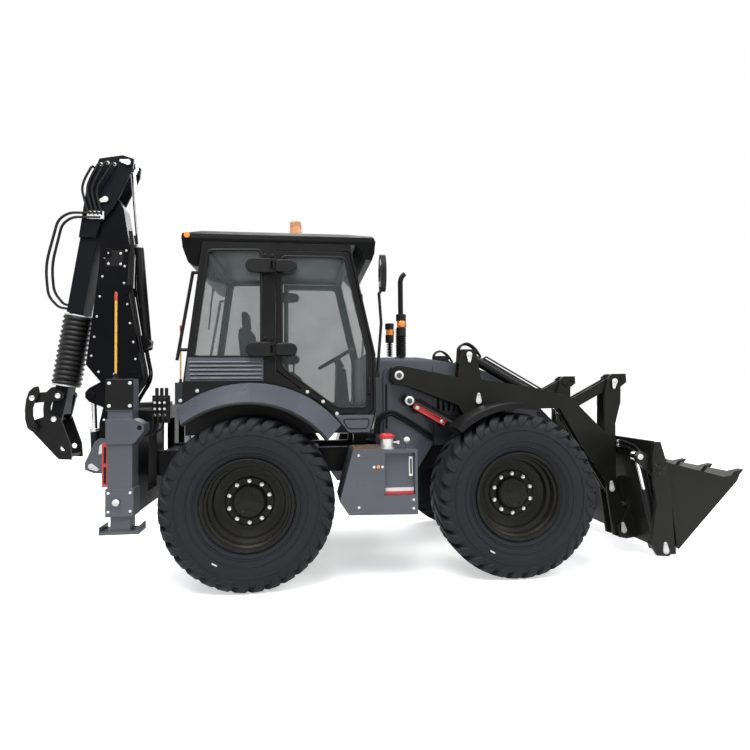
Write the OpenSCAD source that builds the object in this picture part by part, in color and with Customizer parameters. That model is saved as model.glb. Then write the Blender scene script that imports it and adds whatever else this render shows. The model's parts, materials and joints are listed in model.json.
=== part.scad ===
// Backhoe loader with four equal wheels, a clam loader bucket and a folded side-shift backhoe.
// Millimetres, +X forward, +Y to the machine's left, +Z up, the wheels stand on Z = 0.

/* [Wheels] */
// Distance between the rear and the front axle
wheelbase = 2220; // [2100:10:2320]
// Distance between the middles of a left and a right tyre
track = 1860; // [1820:10:1900]
// Radius of the tyre out to the tips of its lugs
tyre_r = 692; // [670:2:710]
// Width of the tyre
tyre_w = 420; // [380:5:440]
// Radius of the rim's flange
rim_r = 366; // [350:2:380]

/* [Cab] */
// Width of the cab over its side walls
cab_w = 1600; // [1540:10:1640]
// Height of the cab's top edge, where the roof lies
cab_z = 2850; // [2780:10:2920]
// Thickness of the roof at its middle
roof_t = 130; // [100:5:160]
// Thickness of the cab's walls and doors
wall = 52; // [44:2:60]
// Thickness of the window panes
pane_t = 6; // [4:1:10]

/* [Frame] */
// Depth of the frame's side rails
rail_h = 220; // [190:5:240]
// Width over the hood
hood_w = 770; // [700:10:776]
// Height of the hood's top at the cab
hood_z = 1905; // [1850:5:1960]

/* [Loader] */
// Middle of each loader arm from the centre line
arm_y = 505; // [495:1:515]
// Gap between the two plates of an arm
arm_gap = 100; // [96:1:104]
// Thickness of an arm's plate
arm_t = 25; // [20:1:28]
// Width of the loader bucket over its side plates
bucket_w = 2360; // [2300:10:2420]
// Number of teeth on the bucket
teeth = 7; // [5:1:9]
// Radius of the lift cylinder's barrel
lift_r = 47; // [42:1:47]

/* [Backhoe] */
// Width of the boom
boom_w = 190; // [170:5:196]
// Width of the dipper's outer box
dip_w = 210; // [206:1:216]
// Radius of the bellows over its rings
bellows_r = 130; // [124:1:134]
// Number of rings on the bellows
bellows_n = 16; // [10:1:20]
// Length of one stabiliser foot, fore and aft
foot_l = 288; // [250:2:310]

/* [Hidden] */
wy = track / 2;
// Height of the axles in the typed heights below, which all rise with a larger tyre
axle_z = 692;
rise = tyre_r - axle_z;
// Shift of everything ahead of the front axle with a longer wheelbase
fore = wheelbase - 2220;
fit = 0.08;
rail_z = 1060 - rail_h;
rail_y0 = 290;
rail_y1 = 390;
cy = cab_w / 2;
hy = hood_w / 2;
ay0 = arm_y - arm_gap / 2;
ay1 = arm_y + arm_gap / 2;
by = bucket_w / 2;
// Pins of the loader in the plane of X and Z
pin_a = [1300, 1720];
pin_c = [1397, 1488];
pin_v = [2120 + fore, 1080];
pin_u = [1961 + fore, 1911];
pin_l = [2878 + fore, 1387];
pin_t = [3392 + fore, 1654];
pin_h = [3351 + fore, 628];
pin_b = [3448 + fore, 240];
clam_h = [3430 + fore, 899];
clam_top = [3288 + fore, 1000];
clam_base = [3478 + fore, 206];
// Pins of the backhoe
swing_x = -1230;
pin_f = [-1420, 1080];
boom_base = [-1520, 900];
boom_rod_pin = [-1545, 1560];
dip_h = [-1400, 3400];
dip_base = [-1060, 2050];
dip_tail = [-1200, 3760];
dip_o = [-1550, 3110];
dip_tilt = 9.46;
pin_e = [-1844, 1344];
pin_s = [-1800, 1560];
pin_r = [-2010, 1540];
pin_j = [-2010, 1290];
// Bore of the hitch for a tool's pin
pin_q = [-1765, 1075];
bw = boom_w / 2;
// Station of the rear axle behind the middle of the whole length
ox = (4264 + fore + pin_r[0] - 45) / 2;
leg_x = -940;
leg_y = 1075;

// Piece to draw, or all of them

// A plate cut to an outline in X and Z, from y0 to y1
module plate(pts, y0, y1)
  translate([0, y1, 0]) rotate([90, 0, 0]) linear_extrude(y1 - y0) polygon(pts);

// A round bar across the machine
module bar_y(p, r, y0, y1)
  translate([p[0], y1, p[1]]) rotate([90, 0, 0]) cylinder(r = r, h = y1 - y0, $fn = 48);

// A round bar from p along an angle in the plane of X and Z
module bar_xz(p, ang, y, r, s0, s1)
  translate([p[0], y, p[1]]) rotate([0, 90 - ang, 0]) translate([0, 0, s0])
    cylinder(r = r, h = s1 - s0, $fn = 48);

// The same on both sides
module pair() {
  children();
  mirror([0, 1, 0]) children();
}

module block(x0, x1, y0, y1, z0, z1)
  translate([x0, y0, z0]) cube([x1 - x0, y1 - y0, z1 - z0]);

function ang(p, q) = atan2(q[1] - p[1], q[0] - p[0]);
function len2(p, q) = sqrt((q[1] - p[1]) * (q[1] - p[1]) + (q[0] - p[0]) * (q[0] - p[0]));

module place() translate([-ox, 0, rise]) children();
module front() translate([fore, 0, 0]) children();

// Frame with rails and rear frame
module frame() color([0.16, 0.16, 0.15]) place() {
  pair() block(-860, 2640 + fore, rail_y0, rail_y1, rail_z, 1060);
  for (x = [[-860, -760], [480, 580], [1250, 1400], [2560 + fore, 2640 + fore]])
    block(x[0], x[1], -rail_y0 - 1, rail_y0 + 1, rail_z + 20, 1040);
  block(-980, -860, -1000, 1000, 1330, 1450);
  block(-980, -860, -1000, 1000, 640, 760);
  pair() block(-930, -860, 700, 1000, 759, 1331);
  pair() block(-930, -860, 250, 420, 759, 1331);
  pair() for (x = [-400, 900]) block(x, x + 120, rail_y0, rail_y1, 1059, 1215);
}

// Loader towers, bolted to the outside of the rails, with the arms' and the lift cylinders' pins
module towers() color([0.33, 0.35, 0.39]) place() pair() {
  plate([[1180, rail_z], [1500, rail_z], [1640, 1060], [1640, 1200], [1490, 1500], [1400, 1800], [1220, 1800],
    [1180, 1740]], rail_y1, 420);
  bar_y(pin_a, 35, 419, ay1 + arm_t + 20);
  bar_y(pin_c, 30, 419, ay1 + arm_t + 5);
  bar_y(pin_a, 90, 419, 426);
  bar_y(pin_c, 58, 419, 452);
}

// Rear axle, rigid, with its trumpets and hubs
module rear_axle() color([0.14, 0.14, 0.14]) place() translate([0, 0, axle_z]) {
  bar_y([0, 0], 190, -160, 160);
  bar_y([0, 0], 95, -wy + 60, wy - 60);
  pair() bar_y([0, 0], 150, wy - 60, wy - 36);
  pair() bar_y([0, 0], 60, wy - 37, wy + 30);
  pair() block(-120, 120, rail_y0, rail_y1, 0, rail_z - axle_z);
}

module front_axle() color([0.14, 0.14, 0.14]) place() translate([wheelbase, 0, axle_z]) {
  block(-110, 110, -wy + 330, wy - 330, -100, 100);
  block(-150, 150, -rail_y1, rail_y1, 99, rail_z - axle_z);
  pair() difference() {
    union() {
      block(-110, 110, wy - 370, wy - 329, -152, 152);
      block(-80, 80, wy - 330, wy - 110, 122, 152);
      block(-80, 80, wy - 330, wy - 110, -152, -122);
    }
    translate([0, wy - 170, -200]) cylinder(r = 40 + fit, h = 400, $fn = 48);
  }
}

// Steering knuckle with hub and mudguard, for the right side
guard_r = tyre_r + 78;
module knuckle() translate([wheelbase, 0, axle_z]) mirror([0, 1, 0]) {
  translate([0, wy - 170, -165]) cylinder(r = 40, h = 331, $fn = 48);
  translate([0, wy - 170, -116]) cylinder(r = 75, h = 232, $fn = 48);
  bar_y([0, 0], 100, wy - 170, wy - 60);
  bar_y([0, 0], 150, wy - 61, wy - 36);
  bar_y([0, 0], 60, wy - 37, wy + 30);
  // bracket up the inner side of the tyre
  block(-60, 60, wy - 290, wy - 130, 165, 185);
  block(-60, 60, wy - 290, wy - 270, 184, guard_r + 4);
  block(-60, 60, wy - 271, wy - 100, guard_r - 14, guard_r + 4);
  intersection() {
    difference() {
      bar_y([0, 0], guard_r + 8, wy - 130, wy + 200);
      bar_y([0, 0], guard_r, wy - 140, wy + 180);
      bar_y([0, 0], guard_r - 40, wy - 140, wy + 210);
    }
    plate([[0, 0], [300, 1200], [-900, 1200], [-1000, 1100]], wy - 200, wy + 220);
  }
}

module knuckle_r() color([0.14, 0.14, 0.14]) place() knuckle();
module knuckle_l() color([0.14, 0.14, 0.14]) place() mirror([0, 1, 0]) knuckle();

// One rim with a stepped dish, hub cap and ring of nuts, its outside toward +Z
module rim() {
  rotate_extrude($fn = 96) polygon([
    [rim_r - 26, -185], [rim_r, -185], [rim_r, -170], [rim_r - 14, -165], [rim_r - 14, 165],
    [rim_r, 170], [rim_r, 185], [rim_r - 22, 185], [rim_r - 30, 150], [rim_r - 44, 140], [rim_r - 48, 75],
    [rim_r - 74, 60], [rim_r - 84, 12], [rim_r - 130, -10], [200, -10], [190, 0], [140, 0],
    [132, 42], [118, 54], [0, 54], [0, 34], [60 + fit, 34],
    [60 + fit, -35.5], [rim_r - 110, -35.5], [rim_r - 62, -20], [rim_r - 40, -20]]);
  for (a = [0 : 36 : 324]) rotate([0, 0, a + 18]) translate([168, 0, -1]) {
    cylinder(r = 17, h = 22, $fn = 6);
    cylinder(r = 9, h = 32, $fn = 24);
  }
}

// One tyre with slanting lugs, the grooves between them cut from the tread
lug_n = 20;
module tyre() difference() {
  rotate_extrude($fn = 96) polygon([
    [rim_r - 13.5, -160], [rim_r + 30, -tyre_w / 2 + 25], [rim_r + 120, -tyre_w / 2],
    [tyre_r - 90, -tyre_w / 2 + 8], [tyre_r - 25, -tyre_w / 2 + 30], [tyre_r, -tyre_w / 2 + 70],
    [tyre_r, tyre_w / 2 - 70], [tyre_r - 25, tyre_w / 2 - 30], [tyre_r - 90, tyre_w / 2 - 8],
    [rim_r + 120, tyre_w / 2], [rim_r + 30, tyre_w / 2 - 25], [rim_r - 13.5, 160]]);
  for (i = [0 : lug_n - 1], side = [-1, 1])
    rotate([0, 0, (i + side / 4) * 360 / lug_n]) translate([tyre_r - 34, 0, 0])
      rotate([side * 32, 0, 0]) translate([0, -34, side > 0 ? 22 : -322]) cube([60, 68, 300]);
}

module wheel_at(x, side) place() translate([x, side * wy, axle_z])
  rotate([-90 * side, 0, 0]) children();

module rim_fr() color([0.12, 0.12, 0.11]) wheel_at(wheelbase, -1) rim();
module rim_fl() color([0.12, 0.12, 0.11]) wheel_at(wheelbase, 1) rim();
module rim_rr() color([0.12, 0.12, 0.11]) wheel_at(0, -1) rim();
module rim_rl() color([0.12, 0.12, 0.11]) wheel_at(0, 1) rim();
module tyre_fr() color([0.1, 0.1, 0.12]) wheel_at(wheelbase, -1) tyre();
module tyre_fl() color([0.1, 0.1, 0.12]) wheel_at(wheelbase, 1) tyre();
module tyre_rr() color([0.1, 0.1, 0.12]) wheel_at(0, -1) tyre();
module tyre_rl() color([0.1, 0.1, 0.12]) wheel_at(0, 1) tyre();

module engine() color([0.3, 0.3, 0.3]) place() block(1480, 2280 + fore, -rail_y0, rail_y0, 880, 1560);

// Hood: a hollow cover with a slotted front and slotted sides
function hood_side(t) = [[1110 + t, 1060], [1110 + t, hood_z - t], [1480, hood_z - t],
  [2010 + fore, hood_z - 86 - t], [2480 + fore - t / 3, hood_z - 250 - t],
  [2660 + fore - t * 0.8, hood_z - 400 - t / 2], [2700 + fore - t, hood_z - 520], [2700 + fore - t, 1060]];

module hood() color([0.33, 0.35, 0.39]) place() difference() {
  intersection() {
    plate(hood_side(0), -hy, hy);
    // rounded shoulders along both sides
    union() {
      block(1000, 2900 + fore, -hy, hy, 1000, hood_z - 330);
      block(1000, 2900 + fore, -hy + 60, hy - 60, 1000, hood_z + 10);
      pair() translate([1000, hy - 60, hood_z - 331]) cube([1900 + fore, 60, 331 - 60]);
      pair() translate([1000, hy - 60, hood_z - 60]) rotate([0, 90, 0]) cylinder(r = 60, h = 1900 + fore, $fn = 48);
    }
  }
  plate([for (p = hood_side(20)) [p[0], p[1] < 1061 ? 1050 : p[1]]], -hy + 20, hy - 20);
  for (i = [0 : 5]) block(2670 + fore, 2710 + fore, -hy + 60, hy - 60, 1110 + i * 42, 1134 + i * 42);
  pair() for (i = [0 : 6]) block(1700 + i * 52, 1724 + i * 52, hy - 30, hy + 10, 1380, 1560);
}

function cab_out() = [[-560, 1215], [-560, 1640], [-400, cab_z], [845, cab_z], [1060, 1900],
  [1060, 1400], [1010, 1215]];
function cab_in() = [[-560 + wall, 1290], [-560 + wall, 1640], [-400 + wall, cab_z - 40],
  [845 - wall, cab_z - 40], [1060 - wall, 1900], [1060 - wall, 1410], [965, 1290]];
function door_out() = [[205, cab_z - 58], [840, cab_z - 58], [1040, 1900], [1040, 1420],
  [1000, 1380], [700, 1380], [205, 1760]];
function door_glass() = [[255, cab_z - 108], [800, cab_z - 108], [990, 1895], [985, 1440],
  [720, 1440], [255, 1790]];
hinge_x = 196;
hinge_y = cy + 24;
hinge_z = [cab_z - 200, 1940];
function quarter() = [[-350, cab_z - 70], [85, cab_z - 60], [85, 1880], [-475, 1880]];

// Cab: floor, posts and walls with the windows cut
module cab_frame() color([0.15, 0.15, 0.14]) place() {
  cab_shell();
  // handrails behind the cab
  pair() {
    bar_xz([-482, 2600], ang([-482, 2600], [-612, 1850]), cy - 40, 14, 0, 761);
    for (p = [[-482, 2592, 62], [-596, 1940, 96]]) bar_xz(p, 0, cy - 40, 14, -8, p[2]);
  }
  pair() for (z = hinge_z) {
    translate([hinge_x, hinge_y, z - 55]) cylinder(r = 10, h = 110, $fn = 32);
    for (d = [-56, 34]) block(-20, hinge_x + 14, cy - 1, hinge_y + 14, z + d, z + d + 22);
  }
}

module cab_shell() difference() {
  plate(cab_out(), -cy, cy);
  difference() {
    plate(cab_in(), -cy + wall, cy - wall);
    pair() bar_y([0, axle_z], 1000, 660, cy);
  }
  pair() bar_y([0, axle_z], 970, 690, cy + 10);
  pair() plate(door_out(), cy - wall - 10, cy + 10);
  pair() plate(quarter(), cy - wall - 10, cy + 10);
  // slots of the air grille under the rear side window
  pair() for (i = [0 : 4]) plate([[-505 + i * 3, 1838 - i * 34], [85, 1838 - i * 34], [85, 1822 - i * 34],
    [-507 + i * 3, 1822 - i * 34]], cy - 14, cy + 10);
  // windscreen and rear window
  plate([[700, cab_z - 80], [900, cab_z - 80], [1200, 1920], [950, 1920]], -cy + 90, cy - 90);
  plate([[-600, 1900], [-300, 1900], [-200, cab_z - 80], [-600, cab_z - 80]], -cy + 90, cy - 90);
}

// Roof, crowned fore and aft, sloped off to both sides, with a hanging lip at each end
module roof() color([0.12, 0.12, 0.12]) place() intersection() {
  plate([[-568, cab_z + 40], [-562, cab_z - 50], [-520, cab_z - 170], [-470, cab_z - 205], [-434, cab_z - 205],
    [-404, cab_z], [890, cab_z], [935, cab_z - 40], [985, cab_z - 120], [1035, cab_z - 132], [1058, cab_z - 70],
    [1067, cab_z + 30], [1040, cab_z + roof_t - 40], [700, cab_z + roof_t - 12], [500, cab_z + roof_t],
    [140, cab_z + roof_t], [-400, cab_z + roof_t - 20], [-560, cab_z + roof_t - 60]], -cy - 20, cy + 20);
  translate([-700, 0, cab_z]) rotate([90, 0, 90]) linear_extrude(1900) polygon([[-cy + 24, -230], [cy - 24, -230],
    [cy - 4, -10], [cy + 10, 24], [cy + 2, roof_t - 66], [cy - 70, roof_t - 22], [cy - 220, roof_t + 1],
    [-cy + 220, roof_t + 1], [-cy + 70, roof_t - 22], [-cy - 2, roof_t - 66], [-cy - 10, 24], [-cy + 4, -10]]);
}

module cab_panes() color([0.35, 0.42, 0.42, 0.5]) place() {
  pair() plate(quarter(), cy - 30 - pane_t, cy - 30);
  intersection() {
    plate([[845 - 30, cab_z], [845 - 24, cab_z], [1060 - 24, 1900], [1060 - 30, 1900]], -cy + 90, cy - 90);
    block(600, 1200, -cy, cy, 1920, cab_z - 80);
  }
  intersection() {
    plate([[-560 + 24, 1640], [-560 + 30, 1640], [-400 + 30, cab_z], [-400 + 24, cab_z]], -cy + 90, cy - 90);
    block(-700, 0, -cy, cy, 1900, cab_z - 80);
  }
}

function inset_door() = [[212, cab_z - 66], [834, cab_z - 66], [1032, 1900], [1032, 1424],
  [996, 1388], [706, 1388], [212, 1768]];

module door() mirror([0, 1, 0]) {
  difference() {
    plate(inset_door(), cy - wall + 2, cy - 2);
    plate(door_glass(), cy - wall - 10, cy + 10);
  }
  for (z = hinge_z) difference() {
    union() {
      block(hinge_x, 370, hinge_y - 12, hinge_y + 12, z - 30, z + 30);
      block(230, 370, cy - 3, hinge_y, z - 30, z + 30);
      translate([hinge_x, hinge_y, z - 30]) cylinder(r = 18, h = 60, $fn = 32);
    }
    translate([hinge_x, hinge_y, z - 50]) cylinder(r = 10 + fit, h = 100, $fn = 32);
  }
}
module door_pane() mirror([0, 1, 0]) plate(door_glass(), cy - 30 - pane_t, cy - 30);
module door_r() color([0.12, 0.12, 0.12]) place() door();
module door_l() color([0.12, 0.12, 0.12]) place() mirror([0, 1, 0]) door();
module door_pane_r() color([0.35, 0.42, 0.42, 0.5]) place() door_pane();
module door_pane_l() color([0.35, 0.42, 0.42, 0.5]) place() mirror([0, 1, 0]) door_pane();

// Operator's seat with pedestal, cushion, back, headrest and armrests
module seat() color([0.12, 0.12, 0.13]) place() {
  block(-40, 260, -170, 170, 1290, 1540);
  plate([[-110, 1539], [390, 1539], [415, 1600], [400, 1665], [-60, 1650], [-130, 1640]], -255, 255);
  plate([[-130, 1630], [20, 1630], [-50, 2160], [-95, 2200], [-165, 2195], [-180, 2120]], -235, 235);
  plate([[-150, 2190], [-80, 2190], [-95, 2360], [-160, 2360]], -140, 140);
  pair() plate([[-150, 1860], [190, 1850], [200, 1890], [180, 1905], [-150, 1905]], 234, 300);
}

// Steering column, wheel, dashboard and the side consoles with their levers
module console() color([0.14, 0.14, 0.14]) place() {
  plate([[740, 1290], [900, 1290], [850, 1790], [760, 1850]], -130, 130);
  translate([760, 0, 1905]) rotate([0, -30, 0]) {
    translate([0, 0, -110]) cylinder(r = 35, h = 120, $fn = 32);
    rotate_extrude($fn = 64) translate([190, 0]) circle(r = 16, $fn = 24);
    for (a = [90, 210, 330]) rotate([0, 0, a]) translate([0, -15, -8]) cube([186, 30, 16]);
  }
  pair() plate([[-60, 1290], [420, 1290], [420, 1700], [340, 1760], [-60, 1740]], 400, 540);
  for (y = [430, 500]) translate([330, y, 1700]) {
    cylinder(r = 9, h = 260, $fn = 24);
    translate([0, 0, 255]) cylinder(r = 24, h = 60, $fn = 24);
  }
}

// Rear fenders, crowned and falling to the outside
module fender() intersection() {
  difference() {
    union() {
      bar_y([0, axle_z], 965, 690, 860);
      translate([0, 859, axle_z]) rotate([-90, 0, 0]) cylinder(r1 = 965, r2 = 815, h = 291, $fn = 96);
    }
    bar_y([0, axle_z], 940, 680, 860);
    translate([0, 859.5, axle_z]) rotate([-90, 0, 0]) cylinder(r1 = 940, r2 = 790, h = 291, $fn = 96);
  }
  plate([[0, axle_z], [1400, axle_z + 1120], [0, 2400], [-1000, axle_z + 1290]], 600, 1300);
}
module fenders() color([0.33, 0.35, 0.39]) place() pair() fender();

// Tank boxes between the wheels, the right one with a recess, filler and breather
tank_x0 = tyre_r + 33;
tank_x1 = wheelbase - tyre_r - 162;
function tank_side() = [[tank_x0 + 110, 1106], [tank_x1, 1100], [tank_x1, 568], [tank_x0 + 75, 580], [tank_x0, 690]];

module side_tanks() color([0.33, 0.35, 0.39]) place() {
  pair() block(tank_x0 + 175, tank_x0 + 385, rail_y1, 641, 870, 960);
  plate(tank_side(), 640, 1080);
  difference() {
    plate(tank_side(), -1080, -640);
    block(tank_x1 - 270, tank_x1 - 22, -1090, -1030, 730, 1072);
  }
  translate([tank_x1 - 240, -980, 1100]) cylinder(r = 46, h = 50, $fn = 48);
  translate([tank_x1 - 240, -980, 1149]) cylinder(r = 36, h = 34, $fn = 48);
  translate([tank_x1 - 72, -990, 1100]) cylinder(r = 14, h = 50, $fn = 32);
}

// Exhaust stack with its silencer and a tip bent forward
module exhaust() color([0.1, 0.1, 0.1]) place() translate([1380, -250, hood_z]) {
  cylinder(r = 46, h = 280, $fn = 48);
  translate([0, 0, 279]) cylinder(r = 25, h = 451, $fn = 48);
  translate([110, 0, 730]) rotate([90, 0, 0]) rotate([0, 0, 180]) rotate_extrude(angle = -52, $fn = 48)
    translate([110, 0]) circle(r = 25, $fn = 32);
}

// Amber lamps: beacon, roof corner lamps and the indicators ahead of the cab
module lamps() color([0.9, 0.5, 0.1]) place() {
  translate([370, -300, cab_z + roof_t + 40]) cylinder(r = 52, h = 110, $fn = 48);
  pair() translate([-520, cy + 10.2, cab_z + 46]) rotate([-90, 0, 0]) cylinder(r = 24, h = 14, $fn = 32);
  pair() translate([1363, 365, 2180]) cylinder(r = 40, h = 66, $fn = 32);
}

// Holders of the lamps
module lamp_holders() color([0.08, 0.08, 0.08]) place() {
  translate([370, -300, cab_z + roof_t]) cylinder(r = 62, h = 40, $fn = 48);
  pair() {
    translate([1363, 365, 2246]) cylinder(r = 48, h = 60, $fn = 32);
    translate([1363, 365, 2100]) cylinder(r = 46, h = 80, $fn = 32);
    translate([1363, 365, hood_z + 13]) cylinder(r = 14, h = 2088 - hood_z, $fn = 24);
    block(1343, 1383, 300, 380, hood_z, hood_z + 14);
  }
}

// Mirrors on bowed arms ahead of the doors
module mirrors() color([0.08, 0.08, 0.08]) place() pair() {
  block(1060, 1096, cy - 70, cy - 20, 1700, 1750);
  bar_xz([1080, 1725], ang([1080, 1725], [1118, 2180]), cy - 45, 13, 0, len2([1080, 1725], [1118, 2180]));
  bar_xz([1118, 2170], ang([1118, 2170], [1100, 2440]), cy - 45, 13, 0, len2([1118, 2170], [1100, 2440]));
  bar_y([1100, 2436], 13, cy - 58, cy + 130);
  intersection() {
    block(1082, 1128, cy + 60, cy + 240, 2420, 2730);
    translate([1000, cy + 150, 2575]) rotate([0, 90, 0]) scale([1.72, 1, 1]) cylinder(r = 92, h = 200, $fn = 48);
  }
}

// Loader arms: two plates a side, joined by bosses, straps and cross tubes
function arm_outline() = concat([[1225, 1700], [1240, 1790], [1300, 1810], [1420, 1790]],
  [for (p = [[1860, 1700], [1890, 1960], [2030, 1960], [2075, 1680], [2700, 1580], [2960, 1500], [3290, 1170],
    [3300, 1560], [3345, 1700], [3380, 1725], [3515, 1725], [3520, 1645], [3460, 1600],
    [3455, 1450], [3400, 1250], [3395, 620], [3520, 330], [3530, 220], [3448, 160],
    [3360, 190], [3290, 700], [3050, 1050], [2840, 1400], [2400, 1400], [2240, 1180], [2190, 1020],
    [2050, 1020], [1990, 1200], [1860, 1440]]) [p[0] + fore, p[1]]],
  [[1400, 1620], [1260, 1640]]);

// Head of a pin on both faces of an arm, its shank held between the plates by the rod's own eye
module pin_heads(p, r) {
  bar_y(p, r, ay0 - arm_t - 15, ay0 - arm_t + 1);
  bar_y(p, r, ay1 + arm_t - 1, ay1 + arm_t + 15);
}

module loader_arms() color([0.17, 0.17, 0.15]) place() {
  pair() difference() {
    union() {
      plate(arm_outline(), ay0 - arm_t, ay0);
      plate(arm_outline(), ay1, ay1 + arm_t);
      bar_y(pin_a, 75, ay0 - 1, ay1 + 1);
      plate([[1420, 1788], [1855 + fore, 1700], [1855 + fore, 1670], [1420, 1750]], ay0 - 1, ay1 + 1);
      front() plate([[2080, 1670], [2220, 1648], [2220, 1620], [2080, 1640]], ay0 - 1, ay1 + 1);
      front() plate([[3400, 1260], [3450, 1450], [3450, 1500], [3420, 1500]], ay0 - 1, ay1 + 1);
      pin_heads(pin_v, 38);
      bar_y(pin_u, 30, ay0 - arm_t - 15, ay1 + arm_t + 15);
      bar_y(pin_t, 30, ay0 - arm_t - 15, ay1 + arm_t + 15);
      front() for (y = [ay0 - arm_t - 12, ay1 + arm_t - 1]) bar_y([3486, 1686], 24, y, y + 13);
    }
    bar_y(pin_a, 35 + fit, ay0 - 60, ay1 + 60);
    bar_y(pin_b, 35 + fit, ay0 - 60, ay1 + 60);
  }
  front() bar_y([3330, 920], 55, -ay0 + arm_t - 1, ay0 - arm_t + 1);
  front() bar_y([2850, 1480], 50, -ay0 + arm_t - 1, ay0 - arm_t + 1);
}

// A cylinder's barrel from its base pin p toward q
module barrel(p, q, y, r, l, eye, bore) difference() {
  union() {
    bar_xz(p, ang(p, q), y, r, eye * 0.8, l);
    bar_y(p, eye, y - r * 0.8, y + r * 0.8);
  }
  bar_y(p, bore + fit, y - 100, y + 100);
  bar_xz(p, ang(p, q), y, r * 0.55 + fit, eye * 1.6, l + 10);
}

// A cylinder's rod from its eye q back toward p, with its foot inside the barrel; w is half the eye's width
module piston(p, q, y, r, l, eye, w, neck) {
  bar_xz(q, ang(q, p), y, r, neck - 8, l);
  bar_y(q, eye, y - w, y + w);
  plate(strip(q, along(q, p, neck, 0), min(r * 1.1, eye * 0.8)), y - w, y + w);
}

module lift_barrels() color([0.1, 0.1, 0.1]) place() pair()
  barrel(pin_c, pin_v, arm_y, lift_r, len2(pin_c, pin_v) * 0.771, 52, 30);
module lift_rods() color([0.8, 0.8, 0.8]) place() pair()
  piston(pin_c, pin_v, arm_y, lift_r * 0.55, len2(pin_c, pin_v) * 0.843, 48, 40, 60);
module tilt_barrels() color([0.1, 0.1, 0.1]) place() pair()
  barrel(pin_u, pin_l, arm_y, 45, 880, 52, 30);
module tilt_rods() color([0.8, 0.8, 0.8]) place() pair()
  piston(pin_u, pin_l, arm_y, 45 * 0.55, 900, 46, 13, 110);

function along(p, q, s, n) = [p[0] + s * cos(ang(p, q)) - n * sin(ang(p, q)),
  p[1] + s * sin(ang(p, q)) + n * cos(ang(p, q))];
function strip(p, q, w) = [along(p, q, 0, w), along(p, q, len2(p, q), w),
  along(p, q, len2(p, q), -w), along(p, q, 0, -w)];

// A flat link with round ends
module link_plate(p, q, w, y0, y1) {
  plate(strip(p, q, w), y0, y1);
  bar_y(p, w, y0, y1);
  bar_y(q, w, y0, y1);
}

module rockers() color([0.17, 0.17, 0.15]) place() pair() {
  difference() {
    union() {
      link_plate(pin_t, pin_l, 48, ay0 + 4, ay0 + 20);
      link_plate(pin_t, pin_l, 48, ay1 - 20, ay1 - 4);
      plate([along(pin_t, pin_l, 180, -40), along(pin_t, pin_l, 300, -40),
        along(pin_t, pin_l, 300, -10), along(pin_t, pin_l, 180, -10)], ay0 + 19, ay1 - 19);
    }
    bar_y(pin_t, 30 + fit, ay0 - 10, ay1 + 10);
  }
  bar_y(pin_l, 25, ay0 + 4, arm_y - 15);
  bar_y(pin_l, 25, arm_y + 15, ay1 - 4);
}

module links() color([0.17, 0.17, 0.15]) place() pair() difference() {
  union() {
    link_plate(pin_l, pin_h, 46, arm_y - 28, arm_y - 15);
    link_plate(pin_l, pin_h, 46, arm_y + 15, arm_y + 28);
    plate([along(pin_l, pin_h, 150, -36), along(pin_l, pin_h, 700, -36),
      along(pin_l, pin_h, 700, 36), along(pin_l, pin_h, 150, 36)], arm_y - 16, arm_y + 16);
  }
  bar_y(pin_l, 25 + fit, ay0, ay1);
}

// Back blade of the loader bucket with its side plates and lugs
module bucket_back() color([0.17, 0.17, 0.15]) place() {
  front() plate([[3600, 165], [3560, 400], [3520, 650], [3480, 900], [3450, 1128], [3420, 1128],
    [3450, 900], [3490, 650], [3530, 400], [3560, 165]], -by + 85, by - 85);
  pair() {
    front() plate([[3345, 260], [3400, 170], [3500, 160], [3560, 200], [3540, 600], [3500, 960], [3450, 1128],
      [3395, 1128], [3370, 960], [3400, 600]], by - 30, by);
    front() block(3530, 3590, by - 86, by - 29, 166, 220);
    bar_y(clam_h, 40, by - 78, by - 29);
    bar_y(clam_base, 28, by - 165, by - 29);
    front() plate([[3500, 170], [3561, 170], [3550, 290], [3460, 300], [3410, 250], [3430, 190]],
      by - 165, by - 142);
    for (y = [[ay0 - arm_t - 30, ay0 - arm_t - 5], [ay1 + arm_t + 5, ay1 + arm_t + 30]])
      front() plate([[3400, 175], [3470, 160], [3561, 170], [3520, 480], [3440, 330], [3385, 270]], y[0], y[1]);
    bar_y(pin_b, 35, ay0 - arm_t - 30, ay1 + arm_t + 30);
    front() plate([[3310, 590], [3340, 570], [3520, 480], [3480, 740], [3360, 680], [3315, 660]],
      arm_y - 13, arm_y + 13);
  }
}

// Front jaw of the loader bucket with its teeth
function clam_side() = [[3250, 1010], [3300, 1050], [3440, 985], [3560, 940], [4060, 810], [4215, 822],
  [4190, 770], [3625, 205], [3608, 230], [3570, 560], [3500, 790], [3400, 830], [3255, 960]];

module clam() color([0.17, 0.17, 0.15]) place() {
  pair() difference() {
    front() plate(clam_side(), by - 70, by - 40);
    bar_y(clam_h, 40 + fit, by - 100, by);
  }
  front() plate([[4215, 822], [3625, 205], [3605, 225], [4190, 843]], -by + 69, by - 69);
  for (i = [0 : teeth - 1])
    translate([fore, (i - (teeth - 1) / 2) * (bucket_w - 170) / (teeth - 1), 0])
      plate([[4150, 744], [4264, 868], [4172, 852], [4100, 770]], -35, 35);
}

module clam_barrels() color([0.1, 0.1, 0.1]) place() pair()
  barrel(clam_base, clam_top, by - 104, 30, 520, 44, 28);
module clam_rods() color([0.8, 0.8, 0.8]) place() pair()
  piston(clam_base, clam_top, by - 104, 30 * 0.55, 590, 40, 26, 50);

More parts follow.
